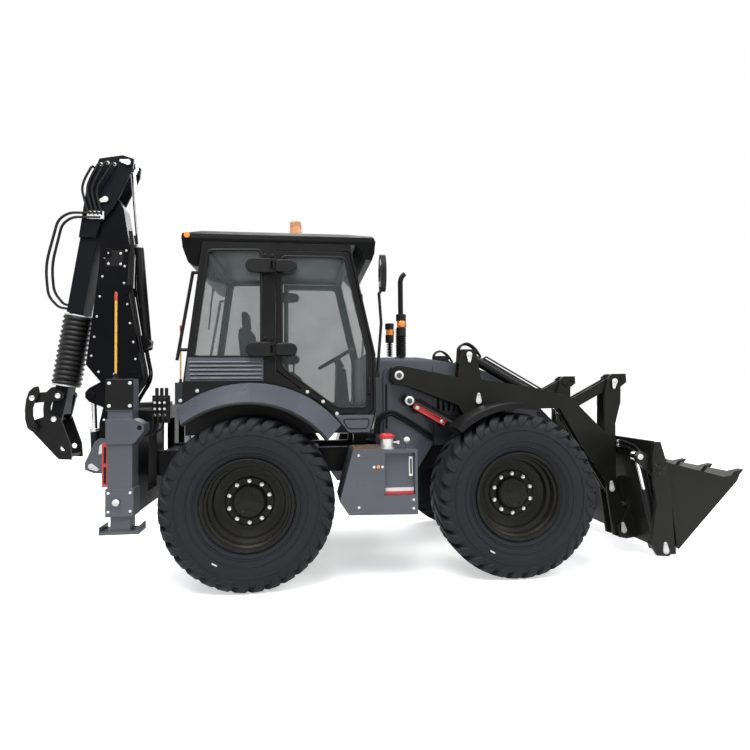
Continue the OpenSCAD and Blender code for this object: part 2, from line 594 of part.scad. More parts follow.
// Side-shift carriage with the swing lugs
module carriage() color([0.2, 0.2, 0.2]) place() difference() {
  union() {
    block(-1085, -980.3, -330, 330, 620, 1490);
    block(-1085, -900, -330, 330, 1450.3, 1490);
    for (z = [640, 1000]) {
      block(swing_x, -1084, -88, 88, z, z + 55);
      translate([swing_x, 0, z]) cylinder(r = 88, h = 55, $fn = 48);
    }
  }
  translate([swing_x, 0, 600]) cylinder(r = 40 + fit, h = 600, $fn = 48);
}

module kingpost() color([0.33, 0.35, 0.39]) place() {
  translate([swing_x, 0, 645]) cylinder(r = 40, h = 405, $fn = 48);
  translate([swing_x, 0, 701]) cylinder(r = 84, h = 293, $fn = 48);
  block(-1350, swing_x, -80, 80, 760, 930);
  pair() plate([[-1300, 720], [-1300, 985], [-1352, 985], [-1352, 1130], [-1390, 1160], [-1450, 1160],
    [-1490, 1130], [-1580, 930], [-1575, 870], [-1500, 838], [-1400, 830], [-1350, 790], [-1350, 720]],
    bw + 5, bw + 30);
  pair() block(-1350, -1300, 70, bw + 6, 760, 930);
  bar_y(pin_f, 35, -bw - 30, bw + 30);
  bar_y(boom_base, 28, -bw - 30, bw + 30);
}

function boom_outline() = [[-1462, 1010], [-1462, 1300], [-1420, 1480], [-1425, 1650], [-1585, 1850], [-1470, 2760],
  [-1450, 3300], [-1440, 3440], [-1370, 3480], [-1310, 3440], [-1250, 3330], [-1200, 3000], [-1215, 2600],
  [-1110, 1950], [-1065, 1700], [-1200, 1520], [-1350, 1120], [-1350, 1030], [-1380, 1005]];

module boom() color([0.15, 0.15, 0.15]) place() difference() {
  union() {
    plate(boom_outline(), -bw, bw);
    pair() plate([[-1130, 1960], [-1030, 2000], [-1020, 2080], [-1060, 2110], [-1140, 2140]], 50, 75);
    pair() plate([[-1400, 1430], [-1560, 1500], [-1595, 1540], [-1595, 1590], [-1560, 1630], [-1400, 1720]], 50, 75);
    bar_y(dip_base, 28, -75, 75);
    pair() bar_y(boom_rod_pin, 34, 74, 86);
    pair() for (p = [[-1225, 2560], [-1130, 1740], [-1400, 2900]]) bar_y(p, 48, bw - 1, bw + 9);
  }
  bar_y(pin_f, 35 + fit, -200, 200);
  bar_y(dip_h, 35 + fit, -200, 200);
}

module boom_barrel() color([0.1, 0.1, 0.1]) place()
  barrel(boom_base, boom_rod_pin, 0, 42, 345, 46, 28);
module boom_rod() color([0.8, 0.8, 0.8]) place()
  piston(boom_base, boom_rod_pin, 0, 42 * 0.55, 365, 44, 40, 56);
module dipper_barrel() color([0.1, 0.1, 0.1]) place()
  barrel(dip_base, dip_tail, 0, 42, 960, 46, 28);
module dipper_rod() color([0.8, 0.8, 0.8]) place()
  piston(dip_base, dip_tail, 0, 42 * 0.55, 985, 44, 40, 56);

module dip_frame() translate([dip_o[0], 0, dip_o[1]]) rotate([0, dip_tilt, 0]) children();

module dipper() color([0.33, 0.35, 0.39]) place() {
  dip_frame() difference() {
    block(-73, 73, -dip_w / 2, dip_w / 2, -790, 60);
    block(-60, 60, -dip_w / 2 + 13, dip_w / 2 - 13, -700, 70);
    block(-55.3, 55.3, -dip_w / 2 + 17.7, dip_w / 2 - 17.7, -800, -600);
  }
  pair() plate([[-1640, 3040], [-1575, 3500], [-1460, 3790], [-1250, 3830], [-1150, 3800], [-1160, 3710],
    [-1330, 3330], [-1450, 3180], [-1490, 3040]], dip_w / 2 - 4, dip_w / 2 + 22);
  bar_y(dip_h, 35, -dip_w / 2 - 34, dip_w / 2 + 34);
  pair() bar_y(dip_tail, 38, dip_w / 2 + 21, dip_w / 2 + 34);
}

module dipper_inner() color([0.3, 0.31, 0.34]) place() difference() {
  union() {
    dip_frame() block(-55, 55, -dip_w / 2 + 18, dip_w / 2 - 18, -1740, -20);
    pair() plate([[-1880, 1420], [-1900, 1340], [-1850, 1290], [-1790, 1330], [-1740, 1560], [-1800, 1620]],
      dip_w / 2 - 19, dip_w / 2 + 6);
  }
  bar_y(pin_e, 30 + fit, -200, 200);
  bar_y(pin_s, 30 + fit, -200, 200);
}

module bellows() color([0.06, 0.06, 0.06]) place() dip_frame() difference() {
  union() {
    translate([0, 0, -1480]) cylinder(r = bellows_r - 12, h = 680, $fn = 48);
    for (i = [0 : bellows_n - 1])
      translate([0, 0, -1470 + i * 670 / bellows_n]) cylinder(r = bellows_r, h = 335 / bellows_n, $fn = 48);
  }
  block(-55.2, 55.2, -dip_w / 2 + 17.8, dip_w / 2 - 17.8, -1600, -700);
}

module tip_lever() color([0.15, 0.15, 0.15]) place() {
  pair() difference() {
    link_plate(pin_s, pin_r, 45, dip_w / 2 + 36, dip_w / 2 + 56);
    bar_y(pin_r, 26 + fit, 0, 300);
  }
  bar_y(pin_s, 30, -dip_w / 2 - 56, dip_w / 2 + 56);
}

module tip_link() color([0.15, 0.15, 0.15]) place() pair() {
  link_plate(pin_r, pin_j, 42, dip_w / 2 + 62, dip_w / 2 + 80);
  bar_y(pin_j, 32, dip_w / 2 + 79, dip_w / 2 + 90);
  bar_y(pin_r, 26, dip_w / 2 + 34, dip_w / 2 + 80);
}

module hitch() color([0.15, 0.15, 0.15]) place() {
  pair() difference() {
    plate([[-2040, 1330], [-2050, 1260], [-1800, 975], [-1690, 968], [-1700, 1100], [-1790, 1360],
      [-1850, 1395]], dip_w / 2 + 12, dip_w / 2 + 32);
    bar_y(pin_q, 25 + fit, 0, 300);
  }
  bar_y(pin_e, 30, -dip_w / 2 - 32, dip_w / 2 + 32);
  pair() bar_y(pin_j, 26, dip_w / 2 + 31, dip_w / 2 + 59);
  block(-1800, -1700, -dip_w / 2 - 13, dip_w / 2 + 13, 990, 1015);
}

// Stabiliser housings, one on each end of the rear frame
module leg_housings() color([0.33, 0.35, 0.39]) place() pair() difference() {
  union() {
    block(leg_x - 90, leg_x + 90, leg_y - 75, leg_y + 75, 650, 1690);
    block(leg_x - 102, leg_x + 102, leg_y - 74, leg_y + 85, 650, 860);
    plate([[leg_x - 102, 1195], [leg_x + 102, 1195], [leg_x + 175, 1290], [leg_x + 175, 1345], [leg_x + 102, 1385],
      [leg_x - 102, 1385]], leg_y - 74, leg_y + 85);
    block(leg_x - 100, leg_x + 100, leg_y + 74, leg_y + 84, 1450, 1690);
    bar_y([leg_x - 20, 760], 24, leg_y + 84, leg_y + 100);
  }
  bar_y([leg_x + 142, 1318], 18, leg_y - 100, leg_y + 100);
  block(leg_x - 78, leg_x + 78, leg_y - 63, leg_y + 63, 800, 1670);
  block(leg_x - 73.3, leg_x + 73.3, leg_y - 58.3, leg_y + 58.3, 600, 900);
}

module leg() mirror([0, 1, 0]) {
  block(leg_x - 73, leg_x + 73, leg_y - 58, leg_y + 58, 539, 1640);
  block(leg_x - foot_l / 2, leg_x + foot_l / 2, leg_y - 95, leg_y + 95, 519, 540);
}
module leg_r() color([0.33, 0.35, 0.39]) place() leg();
module leg_l() color([0.33, 0.35, 0.39]) place() mirror([0, 1, 0]) leg();

frame();
towers();
rear_axle();
front_axle();
knuckle_r();
knuckle_l();
rim_fr();
rim_fl();
rim_rr();
rim_rl();
tyre_fr();
tyre_fl();
tyre_rr();
tyre_rl();
engine();
hood();
cab_frame();
roof();
cab_panes();
door_r();
door_l();
door_pane_r();
door_pane_l();
seat();
console();
fenders();
side_tanks();
exhaust();
lamps();
lamp_holders();
mirrors();
loader_arms();
lift_barrels();
lift_rods();
tilt_barrels();
tilt_rods();
rockers();
links();
bucket_back();
clam();
clam_barrels();
clam_rods();
carriage();
kingpost();
boom();
boom_barrel();
boom_rod();
dipper();
dipper_barrel();
dipper_rod();
dipper_inner();
bellows();
tip_lever();
tip_link();
hitch();
leg_housings();
leg_r();
leg_l();
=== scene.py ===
import json
import math

import bmesh
import bpy
from mathutils import Matrix, Vector


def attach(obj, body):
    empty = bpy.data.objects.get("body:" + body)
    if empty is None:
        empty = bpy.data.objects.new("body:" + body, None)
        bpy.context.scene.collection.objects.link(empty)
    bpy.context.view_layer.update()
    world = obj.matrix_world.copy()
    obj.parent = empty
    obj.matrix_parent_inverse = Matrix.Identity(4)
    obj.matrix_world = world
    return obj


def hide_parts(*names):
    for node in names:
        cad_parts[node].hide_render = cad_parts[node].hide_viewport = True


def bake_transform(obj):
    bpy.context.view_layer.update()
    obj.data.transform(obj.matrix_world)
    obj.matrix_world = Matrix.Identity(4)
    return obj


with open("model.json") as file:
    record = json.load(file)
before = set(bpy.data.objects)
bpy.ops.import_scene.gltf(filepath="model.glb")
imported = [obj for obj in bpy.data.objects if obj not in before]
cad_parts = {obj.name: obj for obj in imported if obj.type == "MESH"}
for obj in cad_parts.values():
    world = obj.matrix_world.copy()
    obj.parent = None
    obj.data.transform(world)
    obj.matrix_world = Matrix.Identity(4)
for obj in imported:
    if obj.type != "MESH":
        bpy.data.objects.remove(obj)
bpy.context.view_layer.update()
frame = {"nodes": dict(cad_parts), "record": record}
NODES = frame["nodes"]

# Sizes below are in millimetres, X from the rear axle, as on the drawing.
REAR_AXLE = 1104.5
HUB_Z, TRACK, WHEELBASE = 692, 930, 2220
LUGS = 32
CAB_SIDE = 799.5


def at(x, y, z):
    return Vector(((x - REAR_AXLE) / 1000, y / 1000, z / 1000))


def group(name, inputs, outputs):
    g = bpy.data.node_groups.new(name, "ShaderNodeTree")
    for n, kind, value in inputs:
        s = g.interface.new_socket(name=n, in_out="INPUT", socket_type=kind)
        s.default_value = value
    for n, kind in outputs:
        g.interface.new_socket(name=n, in_out="OUTPUT", socket_type=kind)
    return g, g.nodes.new("NodeGroupInput"), g.nodes.new("NodeGroupOutput")


FLOAT, COLOUR = "NodeSocketFloat", "NodeSocketColor"


def noise(n, k, scale, detail):
    pos = n.new("ShaderNodeTexCoord")
    t = n.new("ShaderNodeTexNoise")
    t.inputs["Scale"].default_value = scale
    t.inputs["Detail"].default_value = detail
    k.new(pos.outputs["Object"], t.inputs["Vector"])
    return t.outputs["Fac"]


def ranged(n, k, source, a, b, c, d):
    r = n.new("ShaderNodeMapRange")
    for name, value in (("From Min", a), ("From Max", b), ("To Min", c), ("To Max", d)):
        r.inputs[name].default_value = value
    k.new(source, r.inputs["Value"])
    return r.outputs["Result"]


def times(n, k, a, b, clamp=False):
    m = n.new("ShaderNodeMath")
    m.operation = "MULTIPLY"
    m.use_clamp = clamp
    k.new(a, m.inputs[0])
    k.new(b, m.inputs[1])
    return m.outputs[0]


def blend_colour(n, k, factor, a, b, kind="MIX"):
    m = n.new("ShaderNodeMix")
    m.data_type = "RGBA"
    m.blend_type = kind
    k.new(factor, m.inputs["Factor"])
    k.new(a, m.inputs[6])
    k.new(b, m.inputs[7])
    return m.outputs[2]


def make_grime():
    """A film of dust on upward faces over a faintly uneven finish."""
    g, i, o = group("grime", [("Paint", COLOUR, (0.1, 0.1, 0.1, 1)), ("Dust", COLOUR, (0.2, 0.18, 0.15, 1)),
                              ("Amount", FLOAT, 0.3), ("Mottle", FLOAT, 0.15), ("Sheen", FLOAT, 0.35)],
                    [("Color", COLOUR), ("Roughness", FLOAT), ("Height", FLOAT)])
    n, k = g.nodes, g.links
    fine, broad = noise(n, k, 46, 6), noise(n, k, 2.6, 5)
    geo = n.new("ShaderNodeNewGeometry")
    split = n.new("ShaderNodeSeparateXYZ")
    k.new(geo.outputs["Normal"], split.inputs[0])
    film = times(n, k, ranged(n, k, split.outputs["Z"], -0.6, 1.0, 0.15, 1.0), ranged(n, k, broad, 0.35, 0.7, 0.2, 1.0))
    amount = times(n, k, film, i.outputs["Amount"], True)
    speckle = ranged(n, k, fine, 0.3, 0.7, 0.7, 1.15)
    shade = blend_colour(n, k, i.outputs["Mottle"], i.outputs["Paint"], speckle, "MULTIPLY")
    k.new(blend_colour(n, k, amount, shade, i.outputs["Dust"]), o.inputs["Color"])
    add = n.new("ShaderNodeMath")
    add.operation = "ADD"
    k.new(i.outputs["Sheen"], add.inputs[0])
    k.new(ranged(n, k, broad, 0.3, 0.7, -0.04, 0.1), add.inputs[1])
    k.new(add.outputs[0], o.inputs["Roughness"])
    k.new(fine, o.inputs["Height"])
    return g


def make_wear():
    """Paint rubbed thin along the edges of the plates."""
    g, i, o = group("edge_wear", [("Color", COLOUR, (0.1, 0.1, 0.1, 1)), ("Metal", COLOUR, (0.2, 0.19, 0.18, 1)),
                                  ("Amount", FLOAT, 0.5)], [("Color", COLOUR), ("Metallic", FLOAT)])
    n, k = g.nodes, g.links
    geo, bevel, dot = n.new("ShaderNodeNewGeometry"), n.new("ShaderNodeBevel"), n.new("ShaderNodeVectorMath")
    bevel.samples = 3
    bevel.inputs["Radius"].default_value = 0.007
    dot.operation = "DOT_PRODUCT"
    k.new(geo.outputs["Normal"], dot.inputs[0])
    k.new(bevel.outputs["Normal"], dot.inputs[1])
    edge = ranged(n, k, dot.outputs["Value"], 0.985, 0.8, 0.0, 1.0)
    rubbed = times(n, k, edge, ranged(n, k, noise(n, k, 16, 7), 0.46, 0.66, 0.0, 1.0))
    a = times(n, k, rubbed, i.outputs["Amount"], True)
    k.new(blend_colour(n, k, a, i.outputs["Color"], i.outputs["Metal"]), o.inputs["Color"])
    k.new(a, o.inputs["Metallic"])
    return g


GRIME, WEAR = make_grime(), make_wear()


def painted(name, colour, sheen=0.35, dust=0.1, wear=0.0, coat=0.0, metal=0.0, mottle=0.15, bump=0.02, edge=0.004,
            shine=0.5, coat_blur=0.1, dust_colour=(0.2, 0.19, 0.17)):
    m = bpy.data.materials.new(name)
    m.use_nodes = True
    n, k = m.node_tree.nodes, m.node_tree.links
    b = n["Principled BSDF"]
    g = n.new("ShaderNodeGroup")
    g.node_tree = GRIME
    for socket, value in (("Paint", (*colour, 1)), ("Dust", (*dust_colour, 1)), ("Amount", dust), ("Mottle", mottle),
                          ("Sheen", sheen)):
        g.inputs[socket].default_value = value
    k.new(g.outputs["Roughness"], b.inputs["Roughness"])
    if wear:
        w = n.new("ShaderNodeGroup")
        w.node_tree = WEAR
        w.inputs["Amount"].default_value = wear
        k.new(g.outputs["Color"], w.inputs["Color"])
        k.new(w.outputs["Color"], b.inputs["Base Color"])
        k.new(w.outputs["Metallic"], b.inputs["Metallic"])
    else:
        k.new(g.outputs["Color"], b.inputs["Base Color"])
        b.inputs["Metallic"].default_value = metal
    b.inputs["Specular IOR Level"].default_value = shine
    b.inputs["Coat Weight"].default_value = coat
    b.inputs["Coat Roughness"].default_value = coat_blur
    u = n.new("ShaderNodeBump")
    u.inputs["Strength"].default_value = bump
    u.inputs["Distance"].default_value = 0.004
    k.new(g.outputs["Height"], u.inputs["Height"])
    if edge:
        round_edge = n.new("ShaderNodeBevel")
        round_edge.samples = 3
        round_edge.inputs["Radius"].default_value = edge
        k.new(round_edge.outputs["Normal"], u.inputs["Normal"])
    k.new(u.outputs["Normal"], b.inputs["Normal"])
    return m


BODY = painted("body_paint", (0.06, 0.066, 0.08), 0.3, 0.03, 0.08, coat=0.28, mottle=0.06, edge=0.009, shine=0.28,
               coat_blur=0.15)
BLACK = painted("frame_paint", (0.0065, 0.0065, 0.007), 0.33, 0.02, 0.3, coat=0.03, edge=0.006, shine=0.12)
ARM = painted("arm_paint", (0.0098, 0.0096, 0.0084), 0.3, 0.025, 0.35, coat=0.03, edge=0.006, shine=0.11)
WHEEL = painted("wheel_paint", (0.0102, 0.0099, 0.0085), 0.34, 0.03, 0.25, coat=0.02, edge=0.006, shine=0.1)
TYRE = painted("tyre_rubber", (0.0105, 0.0118, 0.0155), 0.58, 0.05, bump=0.35, mottle=0.5, edge=0.008, shine=0.17)
PLASTIC = painted("black_plastic", (0.0062, 0.0062, 0.0066), 0.4, 0.02, bump=0.15, edge=0.008, shine=0.18)
RUBBER = painted("hose_rubber", (0.005, 0.005, 0.0055), 0.4, 0.02, bump=0.1, edge=0, shine=0.2)
# Darker, less shiny copy of the frame paint for the boom: painted shade, not a paint of its own.
BOOM_SHADE_PAINT = painted("boom_shade_paint", (0.0036, 0.0038, 0.0049), 0.32, 0.008, 0.2, coat=0.01, edge=0.006, shine=0.04)
DIPPER = painted("dipper_paint", (0.0052, 0.0062, 0.0085), 0.28, 0.01, 0.15, coat=0.03, edge=0.008, shine=0.05)
ROOF = painted("roof_shell", (0.0045, 0.0047, 0.005), 0.36, 0.008, bump=0.1, edge=0.012, shine=0.05)
CLOTH = painted("seat_cloth", (0.02, 0.02, 0.022), 0.85, 0.02, bump=0.5, mottle=0.5)
CHROME = painted("rod_chrome", (0.68, 0.68, 0.69), 0.1, 0.02, metal=1.0, mottle=0.05, bump=0.01, edge=0)
ZINC = painted("zinc_pin", (0.6, 0.6, 0.58), 0.3, 0.04, metal=0.75, mottle=0.3, edge=0.002)
IRON = painted("engine_iron", (0.06, 0.06, 0.058), 0.6, 0.2, metal=0.4, bump=0.1)
STEP = painted("step_tread", (0.12, 0.075, 0.045), 0.6, 0.2, bump=0.3, mottle=0.6)
AMBER = painted("amber_lens", (0.8, 0.24, 0.012), 0.16, 0.02, coat=0.6, bump=0.3)
BEACON = painted("beacon_lens", (0.95, 0.42, 0.06), 0.16, 0.01, coat=0.6, bump=0.1)
RED = painted("red_paint", (0.45, 0.012, 0.014), 0.35, 0.04, 0.2, coat=0.2)
YELLOW = painted("yellow_rod", (0.72, 0.4, 0.04), 0.4, 0.05, 0.2)
# Plain white plastic for caps, bands and marks; on the pin keepers and caps this white is a painted highlight standing
# in for bright metal.
WHITE_AND_HIGHLIGHT = painted("white_plastic_and_highlight", (0.66, 0.66, 0.64), 0.4, 0.05)
MIRROR = painted("mirror_face", (0.75, 0.77, 0.78), 0.04, 0.02, metal=1.0, mottle=0.03, bump=0.005, edge=0)


def make_glass(name, tint_a, tint_b, clear_a, clear_b):
    m = bpy.data.materials.new(name)
    m.use_nodes = True
    n, k = m.node_tree.nodes, m.node_tree.links
    b = n["Principled BSDF"]
    streak = noise(n, k, 3.5, 6)
    k.new(ranged(n, k, streak, 0.3, 0.7, 0.02, 0.08), b.inputs["Roughness"])
    tint = n.new("ShaderNodeMix")
    tint.data_type = "RGBA"
    tint.inputs[6].default_value, tint.inputs[7].default_value = (*tint_a, 1), (*tint_b, 1)
    k.new(streak, tint.inputs["Factor"])
    k.new(tint.outputs[2], b.inputs["Base Color"])
    k.new(ranged(n, k, streak, 0.3, 0.7, clear_a, clear_b), b.inputs["Alpha"])
    b.inputs["IOR"].default_value = 1.5
    b.inputs["Coat Weight"].default_value = 0.3
    b.inputs["Specular IOR Level"].default_value = 0.35
    b.inputs["Coat Roughness"].default_value = 0.02
    return m


GLASS = make_glass("tinted_glass", (0.05, 0.068, 0.065), (0.07, 0.092, 0.088), 0.28, 0.34)
CLEAR = make_glass("clear_dome", (0.5, 0.52, 0.52), (0.6, 0.62, 0.62), 0.14, 0.2)

FINISH = {
    "body_grey": BODY, "frame_black": BLACK, "arm_olive": ARM, "wheel_black": WHEEL, "tyre": TYRE, "glass": GLASS,
    "seat_cloth": CLOTH, "black_plastic": PLASTIC, "rod_chrome": CHROME, "bellows_rubber": RUBBER,
    "amber_lens": AMBER, "engine_iron": IRON,
}
for part in frame["record"]["subparts"]:
    o = NODES[part["node"]]
    o.data.materials.clear()
    o.data.materials.append(FINISH[part["material_slot"]])
# The boom takes the darker copy of the frame paint, which is painted shade.
for name, finish in (("boom", BOOM_SHADE_PAINT), ("dipper", DIPPER), ("dipper_inner", DIPPER), ("roof", ROOF)):
    NODES[name].data.materials[0] = finish
soft_edge = NODES["roof"].modifiers.new("moulded_edge", "BEVEL")
soft_edge.width, soft_edge.segments = 0.03, 4
soft_edge.limit_method, soft_edge.angle_limit = "ANGLE", math.radians(22)


def rounded(pts, bend, closed):
    """The same path with its corners rounded off by up to that much."""
    pts = [Vector(p) for p in pts]
    n, out = len(pts), []
    for i, p in enumerate(pts):
        if not closed and i in (0, n - 1):
            out.append(p)
            continue
        a, b = pts[i - 1] - p, pts[(i + 1) % n] - p
        r = min(bend, a.length * 0.48, b.length * 0.48)
        a, b = p + a.normalized() * r, p + b.normalized() * r
        for s in range(7):
            t = s / 6
            out.append(a * (1 - t) ** 2 + p * 2 * t * (1 - t) + b * t * t)
    return out


class Shape:
    """Faces gathered in millimetres, then made into one piece."""

    def __init__(self):
        self.v, self.f = [], []

    def add(self, verts, faces):
        n = len(self.v)
        self.v += [tuple(p) for p in verts]
        self.f += [[i + n for i in f] for f in faces]

    def box(self, x0, x1, y0, y1, z0, z1):
        self.add([(x, y, z) for x in (x0, x1) for y in (y0, y1) for z in (z0, z1)],
                 [(0, 1, 3, 2), (4, 6, 7, 5), (0, 4, 5, 1), (2, 3, 7, 6), (0, 2, 6, 4), (1, 5, 7, 3)])

    def plate(self, pts, y0, y1):
        n = len(pts)
        self.add([(x, y0, z) for x, z in pts] + [(x, y1, z) for x, z in pts],
                 [range(n), range(n, 2 * n)] + [(i, (i + 1) % n, n + (i + 1) % n, n + i) for i in range(n)])

    def sweep(self, path, r, sides, closed):
        path, rings = [Vector(p) for p in path], []
        n = len(path)
        u = None
        for i, p in enumerate(path):
            a = path[i - 1] if (i or closed) else p
            b = path[(i + 1) % n] if (i < n - 1 or closed) else p
            d = (b - a).normalized()
            u = d.orthogonal().normalized() if u is None else (u - d * u.dot(d)).normalized()
            w = d.cross(u)
            turns = [2 * math.pi * s / sides for s in range(sides)]
            rings.append([p + (u * math.cos(t) + w * math.sin(t)) * r for t in turns])
        faces = []
        for i in range(n if closed else n - 1):
            j = (i + 1) % n
            faces += [(i * sides + s, i * sides + (s + 1) % sides, j * sides + (s + 1) % sides, j * sides + s)
                      for s in range(sides)]
        if not closed:
            faces += [range(sides), range((n - 1) * sides, n * sides)]
        self.add([p for ring in rings for p in ring], faces)

    def pipe(self, pts, r, bend=60, sides=10, closed=False):
        self.sweep(rounded(pts, bend, closed), r, sides, closed)

    def turned(self, o, d, profile, sides=40, loop=False):
        """A turned piece: distances along d from o, each with its radius; a loop has a hole through it."""
        o, d = Vector(o), Vector(d).normalized()
        u = d.orthogonal().normalized()
        w = d.cross(u)
        n = len(profile)
        v = [o + d * s + (u * math.cos(2 * math.pi * k / sides) + w * math.sin(2 * math.pi * k / sides)) * r
             for s, r in profile for k in range(sides)]
        f = [(i * sides + k, i * sides + (k + 1) % sides, (i + 1) * sides + (k + 1) % sides, (i + 1) * sides + k)
             for i in range(n - 1) for k in range(sides)]
        if loop:
            m = (n - 1) * sides
            ends = [(m + k, m + (k + 1) % sides, (k + 1) % sides, k) for k in range(sides)]
        else:
            ends = [range(sides), range((n - 1) * sides, n * sides)]
        self.add(v, f + ends)

    def rod(self, a, b, r, sides=24):
        d = Vector(b) - Vector(a)
        self.turned(a, d, [(0, r), (d.length, r)], sides)

    def bolt(self, p, d, r=13, h=9):
        self.turned(p, d, [(0, r * 1.5), (h * 0.3, r * 1.5)], 16)
        self.turned(p, d, [(0, r), (h * 0.85, r), (h, r * 0.85)], 6)

    def ring(self, o, big, r, start=0, end=360, sides=8):
        """A ring, or part of one, about an axis across the machine."""
        x, y, z = o
        whole = end - start >= 360
        n = max(8, int((end - start) / 5))
        turns = [math.radians(start + (end - start) * i / n) for i in range(n if whole else n + 1)]
        self.sweep([(x + big * math.cos(t), y, z + big * math.sin(t)) for t in turns], r, sides, whole)

    def both(self):
        n = len(self.v)
        self.v += [(x, -y, z) for x, y, z in self.v]
        self.f += [[i + n for i in f] for f in self.f]
        return self

    def make(self, name, finish, body, slot=None, bevel=0, steps=2):
        me = bpy.data.meshes.new(name)
        me.from_pydata([at(*p) for p in self.v], [], [list(f) for f in self.f])
        b = bmesh.new()
        b.from_mesh(me)
        bmesh.ops.recalc_face_normals(b, faces=b.faces)
        b.to_mesh(me)
        b.free()
        me.shade_smooth()
        me.set_sharp_from_angle(angle=math.radians(38))
        me.materials.append(finish)
        o = bpy.data.objects.new(name, me)
        bpy.context.scene.collection.objects.link(o)
        if bevel:
            m = o.modifiers.new("edge", "BEVEL")
            m.width, m.segments = bevel / 1000, steps
            m.limit_method, m.angle_limit = "ANGLE", math.radians(40)
        if body:
            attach(o, body)
        return o


def wheel_trim(name, x, side):
    """Bright nuts, bead rings and sidewall ribs of one wheel."""
    y = side * TRACK
    nuts = Shape()
    for i in range(10):
        t = math.radians(18 + 36 * i)
        p = (x + 168 * math.cos(t), y, HUB_Z + 168 * math.sin(t))
        nuts.turned(p, (0, side, 0), [(0.5, 20), (20, 20), (24, 16)], 6)
        nuts.turned(p, (0, side, 0), [(20, 10.5), (33, 10.5), (34.5, 8)], 16)
    nuts.make("wheel_nuts_" + name, ZINC, "wheel_" + name, "rod_chrome")
    cap = Shape()
    cap.turned((x, y, HUB_Z), (0, side, 0), [(53, 112), (56, 110), (57, 60), (60, 56), (60.5, 0.5)], 64)
    for i in range(6):
        t = math.radians(60 * i)
        cap.bolt((x + 88 * math.cos(t), y + side * 56, HUB_Z + 88 * math.sin(t)), (0, side, 0), 8, 6)
    cap.make("hub_plate_" + name, WHEEL, "wheel_" + name, "wheel_black")
    beads, ribs = Shape(), Shape()
    for s in (-1, 1):
        beads.ring((x, y + s * 184, HUB_Z), 360, 8)
        for big, out in ((408, 190), (424, 195), (470, 206), (556, 208.5)):
            ribs.ring((x, y + s * out, HUB_Z), big, 5)
    beads.make("rim_beads_" + name, WHEEL, "wheel_" + name, "wheel_black")
    ribs.make("sidewall_ribs_" + name, TYRE, "wheel_" + name, "tyre")
    if side < 0:
        dash = Shape()
        dash.ring((x, y + side * 209, HUB_Z), 505, 6, 238, 243)
        dash.make("sidewall_dash_" + name, WHITE_AND_HIGHLIGHT, "wheel_" + name)


def tyre_tread(name, x, side):
    """The tyre as seen: a carcass with slanting lugs that run over the shoulders."""
    y = side * TRACK
    half = [(354, 160), (372, 172), (396, 185), (430, 196), (486, 209), (540, 209.5), (590, 205), (618, 198),
            (636, 180), (646, 140)]
    profile = [(-w, r) for r, w in half] + [(w, r) for r, w in reversed(half)]
    tyre = Shape()
    tyre.turned((x, y, HUB_Z), (0, 1, 0), profile, 120, True)
    pitch = 2 * math.pi / LUGS
    # Along a lug: distance from the middle, outer and inner radius, lean, half width.
    run = ((4, 691, 640, 0.0, 34), (70, 691, 640, 0.035, 35), (126, 690, 640, 0.075, 37), (168, 683, 628, 0.105, 39),
           (190, 664, 612, 0.125, 40), (203, 636, 606, 0.14, 36), (210, 606, 596, 0.152, 26), (209, 588, 586, 0.16, 12))
    for hand in (-1, 1):
        for i in range(LUGS):
            base = (i + (0.25 if hand > 0 else -0.25)) * pitch
            v, f = [], []
            for w, outer, inner, lean, wide in run:
                for r, d in ((outer, -wide), (outer, wide), (inner, wide + 6), (inner, -wide - 6)):
                    t = base + lean * 1.5 + d / 690
                    q = w if r == outer else w - 14
                    v.append((x + r * math.cos(t), y + hand * q, HUB_Z + r * math.sin(t)))
            n = len(run)
            for k in range(n - 1):
                f += [(4 * k + j, 4 * k + (j + 1) % 4, 4 * k + 4 + (j + 1) % 4, 4 * k + 4 + j) for j in range(4)]
            tyre.add(v, f + [(0, 1, 2, 3), (4 * n - 4, 4 * n - 3, 4 * n - 2, 4 * n - 1)])
    o = tyre.make("tyre_tread_" + name, TYRE, "wheel_" + name, "tyre")
    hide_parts("tyre_" + name)


WHEELS = (("fr", WHEELBASE, -1), ("fl", WHEELBASE, 1), ("rr", 0, -1), ("rl", 0, 1))
for name, x, side in WHEELS:
    tyre_tread(name, x, side)
for name, x, side in WHEELS:
    wheel_trim(name, x, side)

HINGES = (2650, 1940)
SIDES = ((-1, "right"), (1, "left"))


def windscreen_x(z):
    return 1060 - 215 * (z - 1900) / 950 + 10


def rear_pane_x(z):
    return -560 + 160 * (z - 1640) / 1210 - 10


